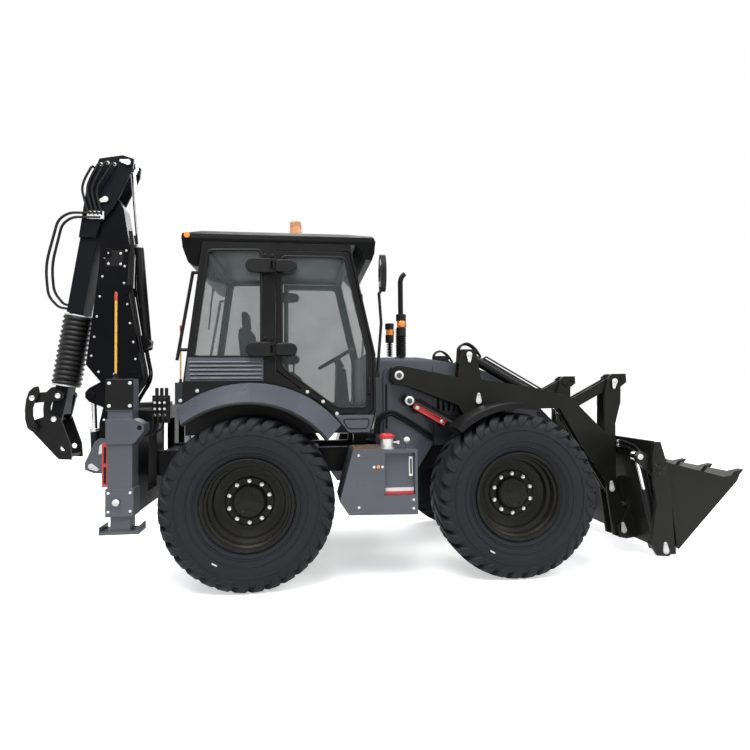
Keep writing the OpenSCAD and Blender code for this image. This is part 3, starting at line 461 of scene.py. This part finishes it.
def cab_trim():
    """Hinge covers, seals, grille and sill panels, wipers, mirrors, beacon and door fittings."""
    covers, bolts = Shape(), Shape()
    for z in HINGES:
        covers.plate([(-40, z - 20), (-20, z - 52), (20, z - 64), (166, z - 62), (166, z + 62), (20, z + 64),
                      (-20, z + 52), (-40, z + 20)], 799, 847)
        for x in (118, 178):
            for d in (-92, 92):
                bolts.bolt((x, 800, z + d), (0, 1, 0), 12, 9)
    covers.both().make("hinge_covers", PLASTIC, "chassis", "black_plastic", 11, 3)
    bolts.both().make("post_bolts", BLACK, "chassis", "frame_black")
    seals = Shape()
    seals.pipe([(-350, 797, 2780), (85, 797, 2790), (85, 797, 1880), (-475, 797, 1880)], 10, 40, 8, True)
    seals.both().make("quarter_seals", RUBBER, "chassis", "bellows_rubber")
    panel = Shape()
    rows = [1872, 1838, 1822, 1804, 1788, 1770, 1754, 1736, 1720, 1702, 1686, 1674]
    back = [-546 + 160 * (z - 1640) / 1210 for z in rows]
    for i in range(0, 12, 2):
        panel.plate([(back[i], rows[i]), (102, rows[i]), (102, rows[i + 1]), (back[i + 1], rows[i + 1])], CAB_SIDE, 804)
    for i in range(1, 10, 2):
        z, x = rows[i], -505 + (i - 1) * 1.5
        panel.plate([(back[i], z + 0.5), (x, z + 0.5), (x, z - 16.5), (back[i + 1], z - 16.5)], CAB_SIDE, 804)
        panel.box(84, 102, CAB_SIDE, 804, z - 16.5, z + 0.5)
        section = [(803, z + 4), (807, z + 2), (810, z - 3), (811, z - 10), (809, z - 10), (808, z - 4), (803, z)]
        panel.add([(px, y, h) for px in (x - 4, 90) for y, h in section],
                  [range(7), range(7, 14)] + [(j, (j + 1) % 7, 7 + (j + 1) % 7, 7 + j) for j in range(7)])
    panel.both().make("air_grille_panels", BODY, "chassis", "body_grey")
    sill = Shape()
    sill.plate([(822, 1224), (764, 1300), (702, 1374), (1042, 1374), (1004, 1224)], CAB_SIDE, 807)
    sill.both().make("sill_panels", BODY, "chassis", "body_grey", 3)
    pocket = Shape()
    pocket.pipe([(812, 807, 1258), (984, 807, 1258), (1004, 807, 1342), (772, 807, 1342)], 5, 30, 8, True)
    pocket.both().make("sill_pockets", BLACK, "chassis", "frame_black")
    arch = Shape()
    for t in range(44, 128, 9):
        p = (1004 * math.cos(math.radians(t)), 800, HUB_Z + 1004 * math.sin(math.radians(t)))
        if p[2] < 1640:
            arch.bolt(p, (0, 1, 0), 10, 8)
    arch.both().make("arch_bolts", ZINC, "chassis", "rod_chrome")
    lip = Shape()
    lip.ring((0, 1150, HUB_Z), 802, 14, 39, 127.5)
    lip.both().make("fender_lips", PLASTIC, "chassis", "black_plastic")
    wiper = Shape()
    for sx, y0, y1, zs in ((1, -260, -80, (1935, 2330, 2120, 2560)), (-1, 190, 40, (2745, 2420, 2610, 2200))):
        face = windscreen_x if sx > 0 else rear_pane_x
        wiper.turned((face(zs[0]) - sx * 12, y0, zs[0]), (sx, 0, 0), [(0, 22), (26, 22), (30, 16)], 20)
        wiper.pipe([(face(zs[0]) + sx * 12, y0, zs[0]), (face(zs[1]) + sx * 10, y1, zs[1])], 7)
        wiper.pipe([(face(zs[2]), y1 - 40, zs[2]), (face(zs[3]), y1 + 40, zs[3])], 8)
    wiper.make("wipers", PLASTIC, "chassis", "black_plastic")
    glass = Shape()
    turns = [2 * math.pi * i / 40 for i in range(40)]
    glass.add([(x, 950 + 76 * math.cos(t), 2575 + 136 * math.sin(t)) for x in (1080, 1083) for t in turns],
              [range(40), range(40, 80)] + [(i, (i + 1) % 40, 40 + (i + 1) % 40, 40 + i) for i in range(40)])
    glass.both().make("mirror_glasses", MIRROR, "chassis", "rod_chrome")
    dome = Shape()
    dome.turned((370, -300, 3020), (0, 0, 1), [(0, 72), (128, 72), (166, 63), (190, 47), (206, 25), (211, 1)], 48)
    dome.make("beacon_dome", CLEAR, "chassis", "glass")
    fins = Shape()
    for z in range(3030, 3185, 12):
        fins.turned((370, -300, z), (0, 0, 1), [(0, 53), (3, 55), (6, 53)], 48)
    fins.make("beacon_lens_rings", BEACON, "chassis", "amber_lens")
    foot = Shape()
    foot.plate([(300, 2985), (440, 2985), (440, 2993), (300, 2993)], -368, -232)
    for x in (312, 428):
        for y in (-356, -244):
            foot.bolt((x, y, 2993), (0, 0, 1), 8, 7)
    foot.make("beacon_foot", PLASTIC, "chassis", "black_plastic")
    for side, hand in SIDES:
        leaf, rubber, grip = Shape(), Shape(), Shape()
        for z in HINGES:
            pts = [(208, z - 40), (230, z - 54), (318, z - 56), (364, z - 44), (388, z - 18), (388, z + 18),
                   (364, z + 44), (318, z + 56), (230, z + 54), (208, z + 40)]
            leaf.plate(pts, *sorted((side * 799, side * 847)))
        leaf.make("door_hinge_covers_" + hand, PLASTIC, hand + "_door", "black_plastic", 11, 3)
        rubber.pipe([(255, side * 795, 2742), (800, side * 795, 2742), (990, side * 795, 1895), (985, side * 795, 1440),
                     (720, side * 795, 1440), (255, side * 795, 1790)], 10, 50, 8, True)
        rubber.make("door_seal_" + hand, RUBBER, hand + "_door", "bellows_rubber")
        y = side * 798
        grip.pipe([(1000, y, 1700), (1000, y + side * 34, 1690), (1000, y + side * 34, 1560), (1000, y, 1550)], 9, 25)
        grip.make("door_grip_" + hand, PLASTIC, hand + "_door", "black_plastic")


cab_trim()


def seat_pads():
    """The seat's base with arm rests, and its three pads."""
    base = Shape()
    base.box(-40, 260, -170, 170, 1290, 1500)
    base.box(-80, 330, -215, 215, 1498, 1542)
    for side in (-1, 1):
        rest = [(-150, 1860), (190, 1850), (200, 1890), (180, 1905), (-150, 1905)]
        base.plate(rest, *sorted((side * 236, side * 300)))
        base.box(-150, -90, *sorted((side * 225, side * 262)), 1640, 1870)
    base = base.make("seat_base", PLASTIC, "chassis", "seat_cloth", 8)
    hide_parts("seat")
    pads = (("seat_cushion", [(-105, 1541), (390, 1541), (412, 1600), (395, 1662), (-60, 1650), (-125, 1640)], 253),
            ("seat_back", [(-128, 1642), (10, 1642), (-52, 2158), (-95, 2196), (-163, 2192), (-178, 2120)], 233),
            ("seat_headrest", [(-150, 2200), (-82, 2200), (-96, 2355), (-158, 2355)], 138))
    for name, pts, y in pads:
        pad = Shape()
        pad.plate(pts, -y, y)
        pad.make(name, CLOTH, "chassis", "seat_cloth", 24, 4)


seat_pads()


def body_trim():
    """Tank fittings, step treads, hood seams, exhaust, lamps, tower hoses and bolts."""
    cap, neck = Shape(), Shape()
    neck.turned((1126, -980, 1100), (0, 0, 1), [(0, 66), (8, 66), (10, 54), (84, 54), (86, 58)], 40)
    neck.rod((1180, -980, 1150), (1222, -980, 1150), 9)
    neck.rod((1222, -980, 1138), (1222, -980, 1164), 13)
    neck.make("filler_neck", ZINC, "chassis", "rod_chrome")
    cap.turned((1126, -980, 1185), (0, 0, 1), [(0, 60), (24, 60), (36, 48), (42, 30)], 40)
    for i in range(16):
        t = math.radians(22.5 * i)
        x, y = 1126 + 60 * math.cos(t), -980 + 60 * math.sin(t)
        cap.rod((x, y, 1187), (x, y, 1208), 4, 8)
    cap.make("filler_cap", RED, "chassis")
    ball = Shape()
    arc = [math.radians(a) for a in range(30, 180, 15)]
    profile = [(0, 12)] + [(28 - 26 * math.cos(a), 26 * math.sin(a)) for a in arc] + [(54, 0.5)]
    ball.turned((1294, -990, 1142), (0, 0, 1), profile, 28)
    ball.make("breather_ball", WHITE_AND_HIGHLIGHT, "chassis")
    gauge, slot, lens = Shape(), Shape(), Shape()
    gauge.box(1300, 1334, -1040, -1029, 876, 1040)
    gauge.make("level_gauge", ZINC, "chassis", "rod_chrome", 3)
    slot.box(1310, 1324, -1042, -1038, 896, 1020)
    slot.make("gauge_tube", PLASTIC, "chassis", "black_plastic")
    strip, band = Shape(), Shape()
    strip.box(1102, 1338, -1052, -1029, 731, 757)
    strip.make("recess_strip", RED, "chassis")
    band.box(1102, 1338, -1046, -1029, 757, 784)
    band.make("recess_band", WHITE_AND_HIGHLIGHT, "chassis")
    lens.turned((1040, -1080, 963), (0, -1, 0), [(0, 15), (6, 14), (9, 8)], 24)
    lens.make("tank_reflector", AMBER, "chassis", "amber_lens")
    bolts = Shape()
    for x, z in ((1006, 963), (1074, 963), (880, 1060), (880, 640), (1330, 620), (1330, 690)):
        bolts.bolt((x, -1080, z), (0, -1, 0), 7, 5)
    bolts.make("tank_bolts", ZINC, "chassis", "rod_chrome")
    tread = Shape()
    tread.box(842, 1062, 826, 1076, 1103, 1112)
    for i in range(10):
        tread.box(846 + 22 * i, 853 + 22 * i, 830, 1072, 1111, 1121)
    for y in (834, 950, 1064):
        tread.box(842, 1062, y, y + 8, 1111, 1118)
    tread.both().make("step_treads", STEP, "chassis", "engine_iron")
    seams = Shape()
    for x, z0, z1 in ((1660, 1070, 1812), (2180, 1070, 1700)):
        seams.box(x, x + 5, 383, 386.5, z0, z1)
    seams.box(1660, 2185, 383, 386.5, 1336, 1341)
    for x in (1720, 2120):
        seams.turned((x, 385, 1260), (0, 1, 0), [(0, 24), (5, 24), (7, 18)], 24)
    seams.both().make("hood_seams", BLACK, "chassis", "frame_black")
    ribs = Shape()
    for z in range(1925, 2180, 22):
        ribs.turned((1380, -250, z), (0, 0, 1), [(0, 46.5), (3, 52), (9, 52), (12, 46.5)], 40)
    ribs.make("exhaust_ribs", BLACK, "chassis", "frame_black")
    lens = Shape()
    lens.turned((1363, 404, 2213), (0, 1, 0), [(0, 33), (7, 31), (11, 22), (12, 4)], 32)
    lens.turned((1402, 365, 2213), (1, 0, 0), [(0, 33), (7, 31), (11, 22), (12, 4)], 32)
    lens.both().make("indicator_lenses", AMBER, "chassis", "amber_lens")
    stalk = Shape()
    for z in range(1930, 2095, 18):
        stalk.turned((1363, 365, z), (0, 0, 1), [(0, 22), (4, 34), (9, 34), (13, 22)], 28)
    stalk.both().make("indicator_stalk_ribs", RUBBER, "chassis", "bellows_rubber")
    hoses = Shape()
    for d in (0, 34):
        hoses.pipe([(1098 + d, -440, 1180), (1098 + d, -440, 1290), (1231, -442, 1409 - d), (1420, -442, 1300 - d),
                    (1593, -438, 1187 - d), (1640, -420, 1150 - d)], 13, 90)
    hoses.pipe([(1206, -430, 1230), (1206, -430, 1640)], 9)
    hoses.make("tower_hoses", RUBBER, "chassis", "bellows_rubber")
    bolts = Shape()
    for x in (1210, 1290, 1370, 1450):
        bolts.bolt((x, 420, 900), (0, 1, 0), 15, 12)
        bolts.bolt((x, 420, 1010), (0, 1, 0), 15, 12)
    bolts.both().make("tower_bolts", ZINC, "chassis", "rod_chrome")


body_trim()


def leg_trim():
    """Plates, bolts, reflectors and marker rods of the stabilisers, and the valve block."""
    plates, bolts, pins = Shape(), Shape(), Shape()
    plates.box(-1040, -840, 1158.5, 1164, 1456, 1688)
    for x in (-1015, -865):
        for z in (1486, 1658):
            bolts.bolt((x, 1164, z), (0, 1, 0), 9, 8)
    for z in (690, 830):
        for x in (-1020, -862):
            bolts.bolt((x, 1160, z), (0, 1, 0), 7, 6)
    plates.both().make("leg_plates", BLACK, "chassis", "frame_black", 4)
    bolts.both().make("leg_bolts", ZINC, "chassis", "rod_chrome")
    pins.turned((-960, 1174, 760), (0, 1, 0), [(0, 26), (8, 26), (11, 20)], 24)
    pins.both().make("collar_pins", WHITE_AND_HIGHLIGHT, "chassis")
    flags, slots = Shape(), Shape()
    flags.box(-1076, -1029, 1126, 1134, 872, 1205)
    for z in (900, 1050):
        slots.box(-1062, -1044, 1132, 1135.5, z, z + 124)
    flags.both().make("reflector_plates", RED, "chassis", None, 3)
    slots.both().make("reflector_slots", BLACK, "chassis", "frame_black")
    rods, tips, cups = Shape(), Shape(), Shape()
    rods.rod((-988, 1100, 1690), (-988, 1100, 2300), 9, 16)
    tips.turned((-988, 1100, 2296), (0, 0, 1), [(0, 11), (56, 11), (64, 7)], 16)
    cups.turned((-988, 1100, 1689), (0, 0, 1), [(0, 26), (8, 26), (10, 16), (44, 15)], 20)
    rods.both().make("marker_rods", YELLOW, "chassis")
    tips.both().make("marker_tips", RED, "chassis")
    cups.both().make("marker_sockets", BLACK, "chassis", "frame_black")
    for side, hand in SIDES:
        ends = Shape()
        for x in (-1084, -804):
            ends.box(x, x + 8, *sorted((side * 982, side * 1168)), 539, 578)
        ends.make("foot_ends_" + hand, BODY, hand + "_leg", "body_grey", 2)
    valve, fittings, pipes = Shape(), Shape(), Shape()
    valve.box(-862, -650, -880, -866, 1345, 1440)
    valve.box(-782, -660, -868, -780, 1335, 1560)
    for i in range(3):
        valve.box(-770 + 38 * i, -742 + 38 * i, -885, -862, 1370, 1540)
        valve.turned((-756 + 38 * i, -824, 1558), (0, 0, 1), [(0, 14), (60, 14), (64, 10)], 20)
        for z in (1400, 1450, 1500):
            fittings.turned((-756 + 38 * i, -884, z), (0, -1, 0), [(0, 11), (12, 11), (13, 8), (20, 8)], 6)
        pipes.pipe([(-756 + 38 * i, -902, 1400), (-756 + 38 * i, -940, 1400), (-756 + 38 * i, -945, 1290),
                    (-800, -930 + 20 * i, 1240), (-862, -930 + 20 * i, 1240)], 9, 40)
    valve.make("valve_block", BLACK, "chassis", "frame_black", 4)
    fittings.make("valve_fittings", ZINC, "chassis", "rod_chrome")
    pipes.make("valve_pipes", RUBBER, "chassis", "bellows_rubber")


leg_trim()


def retainer(shape, x, z, y, turn, r=27):
    """A teardrop keeper over a pin's end, with its bolt."""
    t = math.radians(turn)
    cx, cz = x + 64 * math.cos(t), z + 64 * math.sin(t)
    pts = [(x + r * math.cos(t + math.radians(a)), z + r * math.sin(t + math.radians(a))) for a in range(70, 291, 20)]
    pts += [(cx + 13 * math.cos(t + math.radians(a)), cz + 13 * math.sin(t + math.radians(a)))
            for a in range(-75, 76, 25)]
    shape.plate(pts, y, y + 6)
    shape.bolt((cx, y + 6, cz), (0, 1, 0), 8, 6)
    shape.turned((x, y + 5.5, z), (0, 1, 0), [(0, 16), (3, 15)], 24)


def along(p, q, s, n=0):
    d = (Vector(q) - Vector(p)).normalized()
    return p[0] + d.x * s - d.y * n, p[1] + d.y * s + d.x * n


# Loader pins in side view: arm pivot, lift base and eye, tilt base and eye, rocker, link, bucket and clam.
A, C, V, U, L = (1300, 1720), (1397, 1488), (2120, 1080), (1961, 1911), (2878, 1387)
T, H, B = (3392, 1654), (3351, 628), (3448, 240)
CLAM_H, CLAM_TOP, CLAM_BASE = (3430, 899), (3288, 1000), (3478, 206)
CYLINDER_Y = 505


def loader_trim():
    """Pin keepers, safety struts, glands, pipes and hoses of the loader."""
    keep, heads = Shape(), Shape()
    for (x, z), y in ((A, 600), (C, 585)):
        keep.turned((x, y, z), (0, 1, 0), [(0, 42), (5, 42), (8, 38)], 36)
        heads.turned((x, y + 7.5, z), (0, 1, 0), [(0, 24), (1.5, 24)], 28)
        heads.turned((x, y + 8, z), (0, 1, 0), [(0, 14), (6, 14), (8, 11)], 6)
    # White keepers: painted highlight on the bright metal pin ends.
    keep.both().make("tower_pin_keepers", WHITE_AND_HIGHLIGHT, "chassis", "rod_chrome")
    heads.both().make("tower_pin_bolts", IRON, "chassis", "engine_iron")
    keep, boss = Shape(), Shape()
    for p, y, turn in ((U, 595, 270), ((2047, 1479), 590, 90), (V, 595, 60), (T, 595, 260), (H, 580, 95)):
        retainer(keep, *p, y, turn)
    boss.turned((2047, 579, 1479), (0, 1, 0), [(0, 46), (8, 46), (11, 40)], 32)
    # White keepers: painted highlight on the bright metal pin ends.
    keep.both().make("arm_pin_keepers", WHITE_AND_HIGHLIGHT, "arms", "rod_chrome")
    boss.both().make("arm_bosses", ARM, "arms", "arm_olive")
    keep = Shape()
    retainer(keep, *B, 610, 100)
    retainer(keep, *CLAM_BASE, 1180, 95)
    # White keepers: painted highlight on the bright metal pin ends.
    keep.both().make("bucket_pin_keepers", WHITE_AND_HIGHLIGHT, "bucket", "rod_chrome")
    cover = Shape()
    cover.turned((CLAM_H[0], 1180, CLAM_H[1]), (0, 1, 0), [(0, 62), (4, 60), (5, 30), (9, 28)], 36)
    for i in range(8):
        t = math.radians(45 * i)
        cover.bolt((CLAM_H[0] + 46 * math.cos(t), 1184, CLAM_H[1] + 46 * math.sin(t)), (0, 1, 0), 7, 6)
    cover.both().make("bucket_pivot_covers", ARM, "bucket", "arm_olive")
    keep = Shape()
    keep.turned((CLAM_TOP[0], 1139, CLAM_TOP[1]), (0, 1, 0), [(0, 26), (4, 26), (6, 20)], 28)
    # White caps: painted highlight on the bright metal pin ends.
    keep.both().make("jaw_pin_caps", WHITE_AND_HIGHLIGHT, "jaw", "rod_chrome")
    strut, clips = Shape(), Shape()
    for n0, n1, y0, y1 in ((6, -44, 553, 559), (6, -1, 558, 570), (-37, -44, 558, 570)):
        strut.plate([along(C, V, 62, n0), along(C, V, 400, n0), along(C, V, 400, n1), along(C, V, 62, n1)], y0, y1)
    strut.both().make("safety_struts", RED, "lift_barrel", None, 2)
    for s in (100, 362):
        x, z = along(C, V, s, -19)
        clips.bolt((x, 559, z), (0, 1, 0), 12, 9)
    d = Vector((V[0] - C[0], 0, V[1] - C[1]))
    x, z = along(C, V, 606)
    clips.turned((x, CYLINDER_Y, z), d, [(0, 47.5), (2, 49), (30, 49), (33, 44)], 40)
    clips.both().make("lift_barrel_glands", ZINC, "lift_barrel", "rod_chrome")
    line = Shape()
    for n, s1 in ((62, 560), (-62, 120)):
        pts = [along(C, V, s, m) for s, m in ((70, n * 0.6), (90, n), (s1, n), (s1 + 20, n * 0.6))]
        line.pipe([(x, CYLINDER_Y, z) for x, z in pts], 8, 20)
    line.both().make("lift_barrel_pipes", RUBBER, "lift_barrel", "bellows_rubber")
    line, gland = Shape(), Shape()
    for n in (58, 76):
        pts = [along(U, L, 150, 30), along(U, L, 165, n), along(U, L, 800, n), along(U, L, 815, 30)]
        line.pipe([(x, CYLINDER_Y + (n - 67) * 2, z) for x, z in pts], 8, 20)
    d = Vector((L[0] - U[0], 0, L[1] - U[1]))
    x, z = along(U, L, 846)
    gland.turned((x, CYLINDER_Y, z), d, [(0, 45.5), (2, 48), (32, 48), (35, 42)], 40)
    for s in (300, 560):
        x, z = along(U, L, s)
        gland.turned((x, CYLINDER_Y, z), d, [(0, 45.5), (1, 47), (22, 47), (23, 45.5)], 40)
    line.both().make("tilt_barrel_pipes", RUBBER, "tilt_barrel", "bellows_rubber")
    gland.both().make("tilt_barrel_bands", BLACK, "tilt_barrel", "frame_black")
    for side, hand in SIDES:
        for i, y in enumerate((482, 528)):
            hose = Shape()
            hose.pipe([(1875, side * y, 1830), (1885, side * y, 1990), (1960, side * y, 2020 + 8 * i),
                       (2040, side * y, 1975), (2100, side * CYLINDER_Y, 1890)], 11, 60)
            o = hose.make("tilt_hose_%s_%d" % (hand, i), RUBBER, None, "bellows_rubber")
            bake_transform(o)
    hoses, ports = Shape(), Shape()
    for d in (0, 40):
        hoses.pipe([(3402, 625, 1086 - d), (3398, 700, 1090 - d), (3398, 900 - d, 1070 - d), (3412, 985 - d, 990),
                    (3440, 1010 - d, 820 - d), (3470, 1020 - d, 640 - d), (3462, 1062, 560 - d * 3)], 12, 90)
        ports.turned((3402, 612, 1086 - d), (0, 1, 0), [(0, 18), (20, 18), (21, 14), (34, 14)], 6)
    hoses.both().make("bucket_hoses", RUBBER, "bucket", "bellows_rubber")
    ports.both().make("bucket_hose_ports", ZINC, "bucket", "rod_chrome")
    edge = Shape()
    for i in range(12):
        y = -1045 + 190 * i
        edge.bolt((4126.5, y, 729.5), (0.7225, 0, -0.691), 14, 10)
    edge.make("jaw_edge_bolts", ZINC, "jaw", "rod_chrome")


loader_trim()


def backhoe_trim():
    """Bolts, hoses, pin keepers, bellows boot, curved links and glands of the backhoe."""
    bolts = Shape()
    for x, z in ((-1440, 1150), (-1420, 1330), (-1385, 1500), (-1470, 1780), (-1535, 1930), (-1510, 2110), (-1488, 2300),
                 (-1462, 2490), (-1440, 2680), (-1418, 2860), (-1180, 1600), (-1105, 1740), (-1140, 1900), (-1160, 2060),
                 (-1190, 2240), (-1215, 2420), (-1245, 2620), (-1240, 2780), (-1225, 2930), (-1310, 1600), (-1330, 1760)):
        bolts.bolt((x, 95, z), (0, 1, 0), 7, 6)
    for x, z in ((-1385, 2800), (-1275, 2800), (-1385, 2900), (-1275, 2900)):
        bolts.bolt((x, 100, z), (0, 1, 0), 8, 6)
    bolts.both().make("boom_bolts", ZINC, "boom", "rod_chrome")
    clamp = Shape()
    clamp.box(-1410, -1250, 94, 100, 2775, 2925)
    clamp.both().make("boom_clamp_plates", BLACK, "boom", "frame_black", 4)
    hoses = Shape()
    for i in range(3):
        x, y = 14 + 19 * (i % 2), 86 - 9 * (i // 2)
        hoses.pipe([(-1215 + x, y, 3120), (-1196 + x, y, 3000), (-1211 + x, y, 2600), (-1104 + x, y, 1950),
                    (-1058 + x, y, 1720), (-1190 + x, y, 1500), (-1335 + x, y, 1150), (-1352 + x, y, 1090)], 9, 90)
    hoses.both().make("boom_hoses", RUBBER, "boom", "bellows_rubber")
    pipes, ends = Shape(), Shape()
    pipes.pipe([(-1440, -146, 3265), (-1720, -146, 3262), (-1815, -146, 3190), (-1925, -140, 2760), (-1905, -120, 2480),
                (-1830, -80, 2385), (-1758, -70, 2375)], 12, 150)
    pipes.pipe([(-1440, -146, 3225), (-1690, -146, 3222), (-1780, -146, 3150), (-1870, -140, 2760), (-1860, -110, 2520),
                (-1800, -50, 2420), (-1750, -40, 2412)], 12, 140)
    for i, (x, z) in enumerate(((-1500, 3700), (-1440, 3730), (-1380, 3745), (-1320, 3735))):
        ends.turned((x, -126, z), (0, -1, 0), [(0, 18), (16, 18), (17, 12), (34, 12)], 6)
        pipes.pipe([(x, -150, z), (x - 10, -178, z - 10), (x - 70, -176, z - 120), (-1600 + 40 * i, -172, 3480),
                    (-1560 + 40 * i, -150, 3300), (-1530 + 34 * i, -146, 3250)], 11, 80)
    ends.box(-1560, -1410, -152, -126, 3210, 3282)
    pipes.make("dipper_hoses", RUBBER, "dipper", "bellows_rubber")
    ends.make("dipper_fittings", ZINC, "dipper", "rod_chrome", 2)
    keep = Shape()
    retainer(keep, -1400, 3400, 139, 200)
    retainer(keep, -1200, 3760, 139, 170)
    keep.both().make("dipper_pin_keepers", ZINC, "dipper", "rod_chrome")
    keep = Shape()
    retainer(keep, -1420, 1080, 125, 250)
    retainer(keep, -1520, 900, 125, 330)
    # White keepers: painted highlight on the bright metal pin ends.
    keep.both().make("kingpost_pin_keepers", WHITE_AND_HIGHLIGHT, "kingpost", "rod_chrome")
    boot, tilt = Shape(), math.radians(9.46)
    o = (-1550 - 1480 * math.sin(tilt), 0, 3110 - 1480 * math.cos(tilt))
    profile = [(0, 104), (0.5, 121)]
    for i in range(14):
        s = 12 + 47 * i
        profile += [(s, 113), (s + 8, 119), (s + 16, 127), (s + 23.5, 130), (s + 31, 127), (s + 39, 119)]
    profile += [(670, 113), (679, 122), (680, 104)]
    boot.turned(o, (math.sin(tilt), 0, math.cos(tilt)), profile, 64, True)
    boot = boot.make("bellows_boot", RUBBER, "inner", "bellows_rubber")
    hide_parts("bellows")
    bands = Shape()
    for s in (2, 664):
        p = (o[0] + s * math.sin(tilt), 0, o[2] + s * math.cos(tilt))
        bands.turned(p, (math.sin(tilt), 0, math.cos(tilt)), [(0, 123), (1, 125), (13, 125), (14, 123)], 64)
    bands.make("bellows_bands", ZINC, "inner", "rod_chrome")
    link = Shape()
    bow = [(-1960, 1648), (-2000, 1640), (-2040, 1600), (-2062, 1530), (-2072, 1440), (-2070, 1350), (-2050, 1270),
           (-2015, 1238), (-1975, 1240), (-1960, 1275), (-1985, 1320), (-2004, 1380), (-2006, 1450), (-1990, 1500),
           (-1962, 1540), (-1950, 1600)]
    link.plate(bow, 167, 185)
    link.turned((-2010, 139, 1540), (0, 1, 0), [(0, 26), (46, 26)], 32)
    link.turned((-2010, 184, 1290), (0, 1, 0), [(0, 32), (9, 32), (11, 28)], 32)
    link = link.both().make("curved_links", ARM, "tip_link", "frame_black", 4)
    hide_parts("tip_link")
    for name, body, p, y in (("hitch_pin_caps", "hitch", (-1844, 1344), 137),
                             ("lever_pin_caps", "tip_lever", (-1800, 1560), 161),
                             ("link_pin_caps", "tip_link", (-2010, 1540), 185)):
        caps = Shape()
        caps.turned((p[0], y, p[1]), (0, 1, 0), [(0, 24), (5, 24), (8, 18)], 28)
        caps.both().make(name, ZINC, body, "rod_chrome")
    for name, body, p, q, s in (("boom_barrel_gland", "boom_barrel", (-1520, 900), (-1545, 1560), 315),
                                ("dipper_barrel_gland", "dipper_barrel", (-1060, 2050), (-1200, 3760), 928)):
        ring = Shape()
        x, z = along(p, q, s)
        ring.turned((x, 0, z), (q[0] - p[0], 0, q[1] - p[1]), [(0, 42.5), (2, 45), (30, 45), (33, 40)], 40)
        ring.make(name, ZINC, body, "rod_chrome")


backhoe_trim()


def seen_by_eye(n, k):
    """1 for rays from the camera, also by way of bright metal or glass, and 0 for other light."""
    path = n.new("ShaderNodeLightPath")
    ray = path.outputs["Is Camera Ray"]
    for kind in ("Is Glossy Ray", "Is Transmission Ray"):
        either = n.new("ShaderNodeMath")
        either.operation = "MAXIMUM"
        k.new(ray, either.inputs[0])
        k.new(path.outputs[kind], either.inputs[1])
        ray = either.outputs[0]
    return ray


bpy.ops.mesh.primitive_plane_add(size=80, location=(0, 0, -0.001))
floor = bpy.context.object
floor.name = "floor"
paper = bpy.data.materials.new("floor_paper")
paper.use_nodes = True
pn, pk = paper.node_tree.nodes, paper.node_tree.links
sheet = pn["Principled BSDF"]
sheet.inputs["Roughness"].default_value = 0.9
sheet.inputs["Emission Color"].default_value = (1, 1, 1, 1)
to_eye = seen_by_eye(pn, pk)
pk.new(ranged(pn, pk, to_eye, 0, 1, 0, 0.5), sheet.inputs["Emission Strength"])
grain = ranged(pn, pk, noise(pn, pk, 30, 2), 0.3, 0.7, 0.97, 1.0)
pk.new(times(pn, pk, grain, ranged(pn, pk, to_eye, 0, 1, 0.3, 0.9)), sheet.inputs["Base Color"])
floor.data.materials.append(paper)

world = bpy.data.worlds.new("studio")
bpy.context.scene.world = world
world.use_nodes = True
wn, wk = world.node_tree.nodes, world.node_tree.links
lit = wn["Background"]
view = wn.new("ShaderNodeTexCoord")
height = wn.new("ShaderNodeSeparateXYZ")
wk.new(view.outputs["Generated"], height.inputs[0])
wk.new(ranged(wn, wk, height.outputs["Z"], -0.1, 0.75, 0.22, 1.1), lit.inputs["Strength"])
lit.inputs["Color"].default_value = (0.93, 0.96, 1.0, 1)
seen = wn.new("ShaderNodeBackground")
seen.inputs["Color"].default_value = (1, 1, 1, 1)
pick = wn.new("ShaderNodeMixShader")
wk.new(seen_by_eye(wn, wk), pick.inputs[0])
wk.new(lit.outputs[0], pick.inputs[1])
wk.new(seen.outputs[0], pick.inputs[2])
wk.new(pick.outputs[0], wn["World Output"].inputs["Surface"])


def lamp(name, place, target, power, size):
    d = bpy.data.lights.new(name, "AREA")
    d.energy, d.size = power, size
    o = bpy.data.objects.new(name, d)
    bpy.context.scene.collection.objects.link(o)
    o.location = place
    o.rotation_euler = (Vector(target) - Vector(place)).to_track_quat("-Z", "Y").to_euler()


lamp("key", (-2.5, -5.0, 10.0), (0, 0, 1.0), 1300, 6)
lamp("fill", (7.5, -4.5, 7.5), (1, 0, 1.0), 500, 5)
lamp("back", (0, 7, 8), (0, 0, 1.5), 600, 6)

# The camera as fitted to the photograph: angles in radians, focal length in pixels of its width.
FOCAL_PX, PICTURE_PX = 549.98, 750
YAW, PITCH, ROLL = 0.124946, -0.0255934, -0.0082447
fwd = Vector((math.sin(YAW), math.cos(YAW), 0))
right = Vector((math.cos(YAW), -math.sin(YAW), 0))
up = Vector((0, 0, 1))
ahead = fwd * math.cos(PITCH) - up * math.sin(PITCH)
above = up * math.cos(PITCH) + fwd * math.sin(PITCH)
side = right * math.cos(ROLL) + above * math.sin(ROLL)
top = above * math.cos(ROLL) - right * math.sin(ROLL)
cam_data = bpy.data.cameras.new("camera")
cam_data.sensor_width = 36
cam_data.lens = FOCAL_PX / PICTURE_PX * cam_data.sensor_width
cam = bpy.data.objects.new("camera", cam_data)
bpy.context.scene.collection.objects.link(cam)
cam.matrix_world = Matrix.Translation(at(459.5, -5532.65, 1596.94)) @ Matrix((
    (side.x, top.x, -ahead.x, 0), (side.y, top.y, -ahead.y, 0), (side.z, top.z, -ahead.z, 0), (0, 0, 0, 1)))
bpy.context.scene.camera = cam
bpy.context.scene.view_settings.view_transform = "Standard"
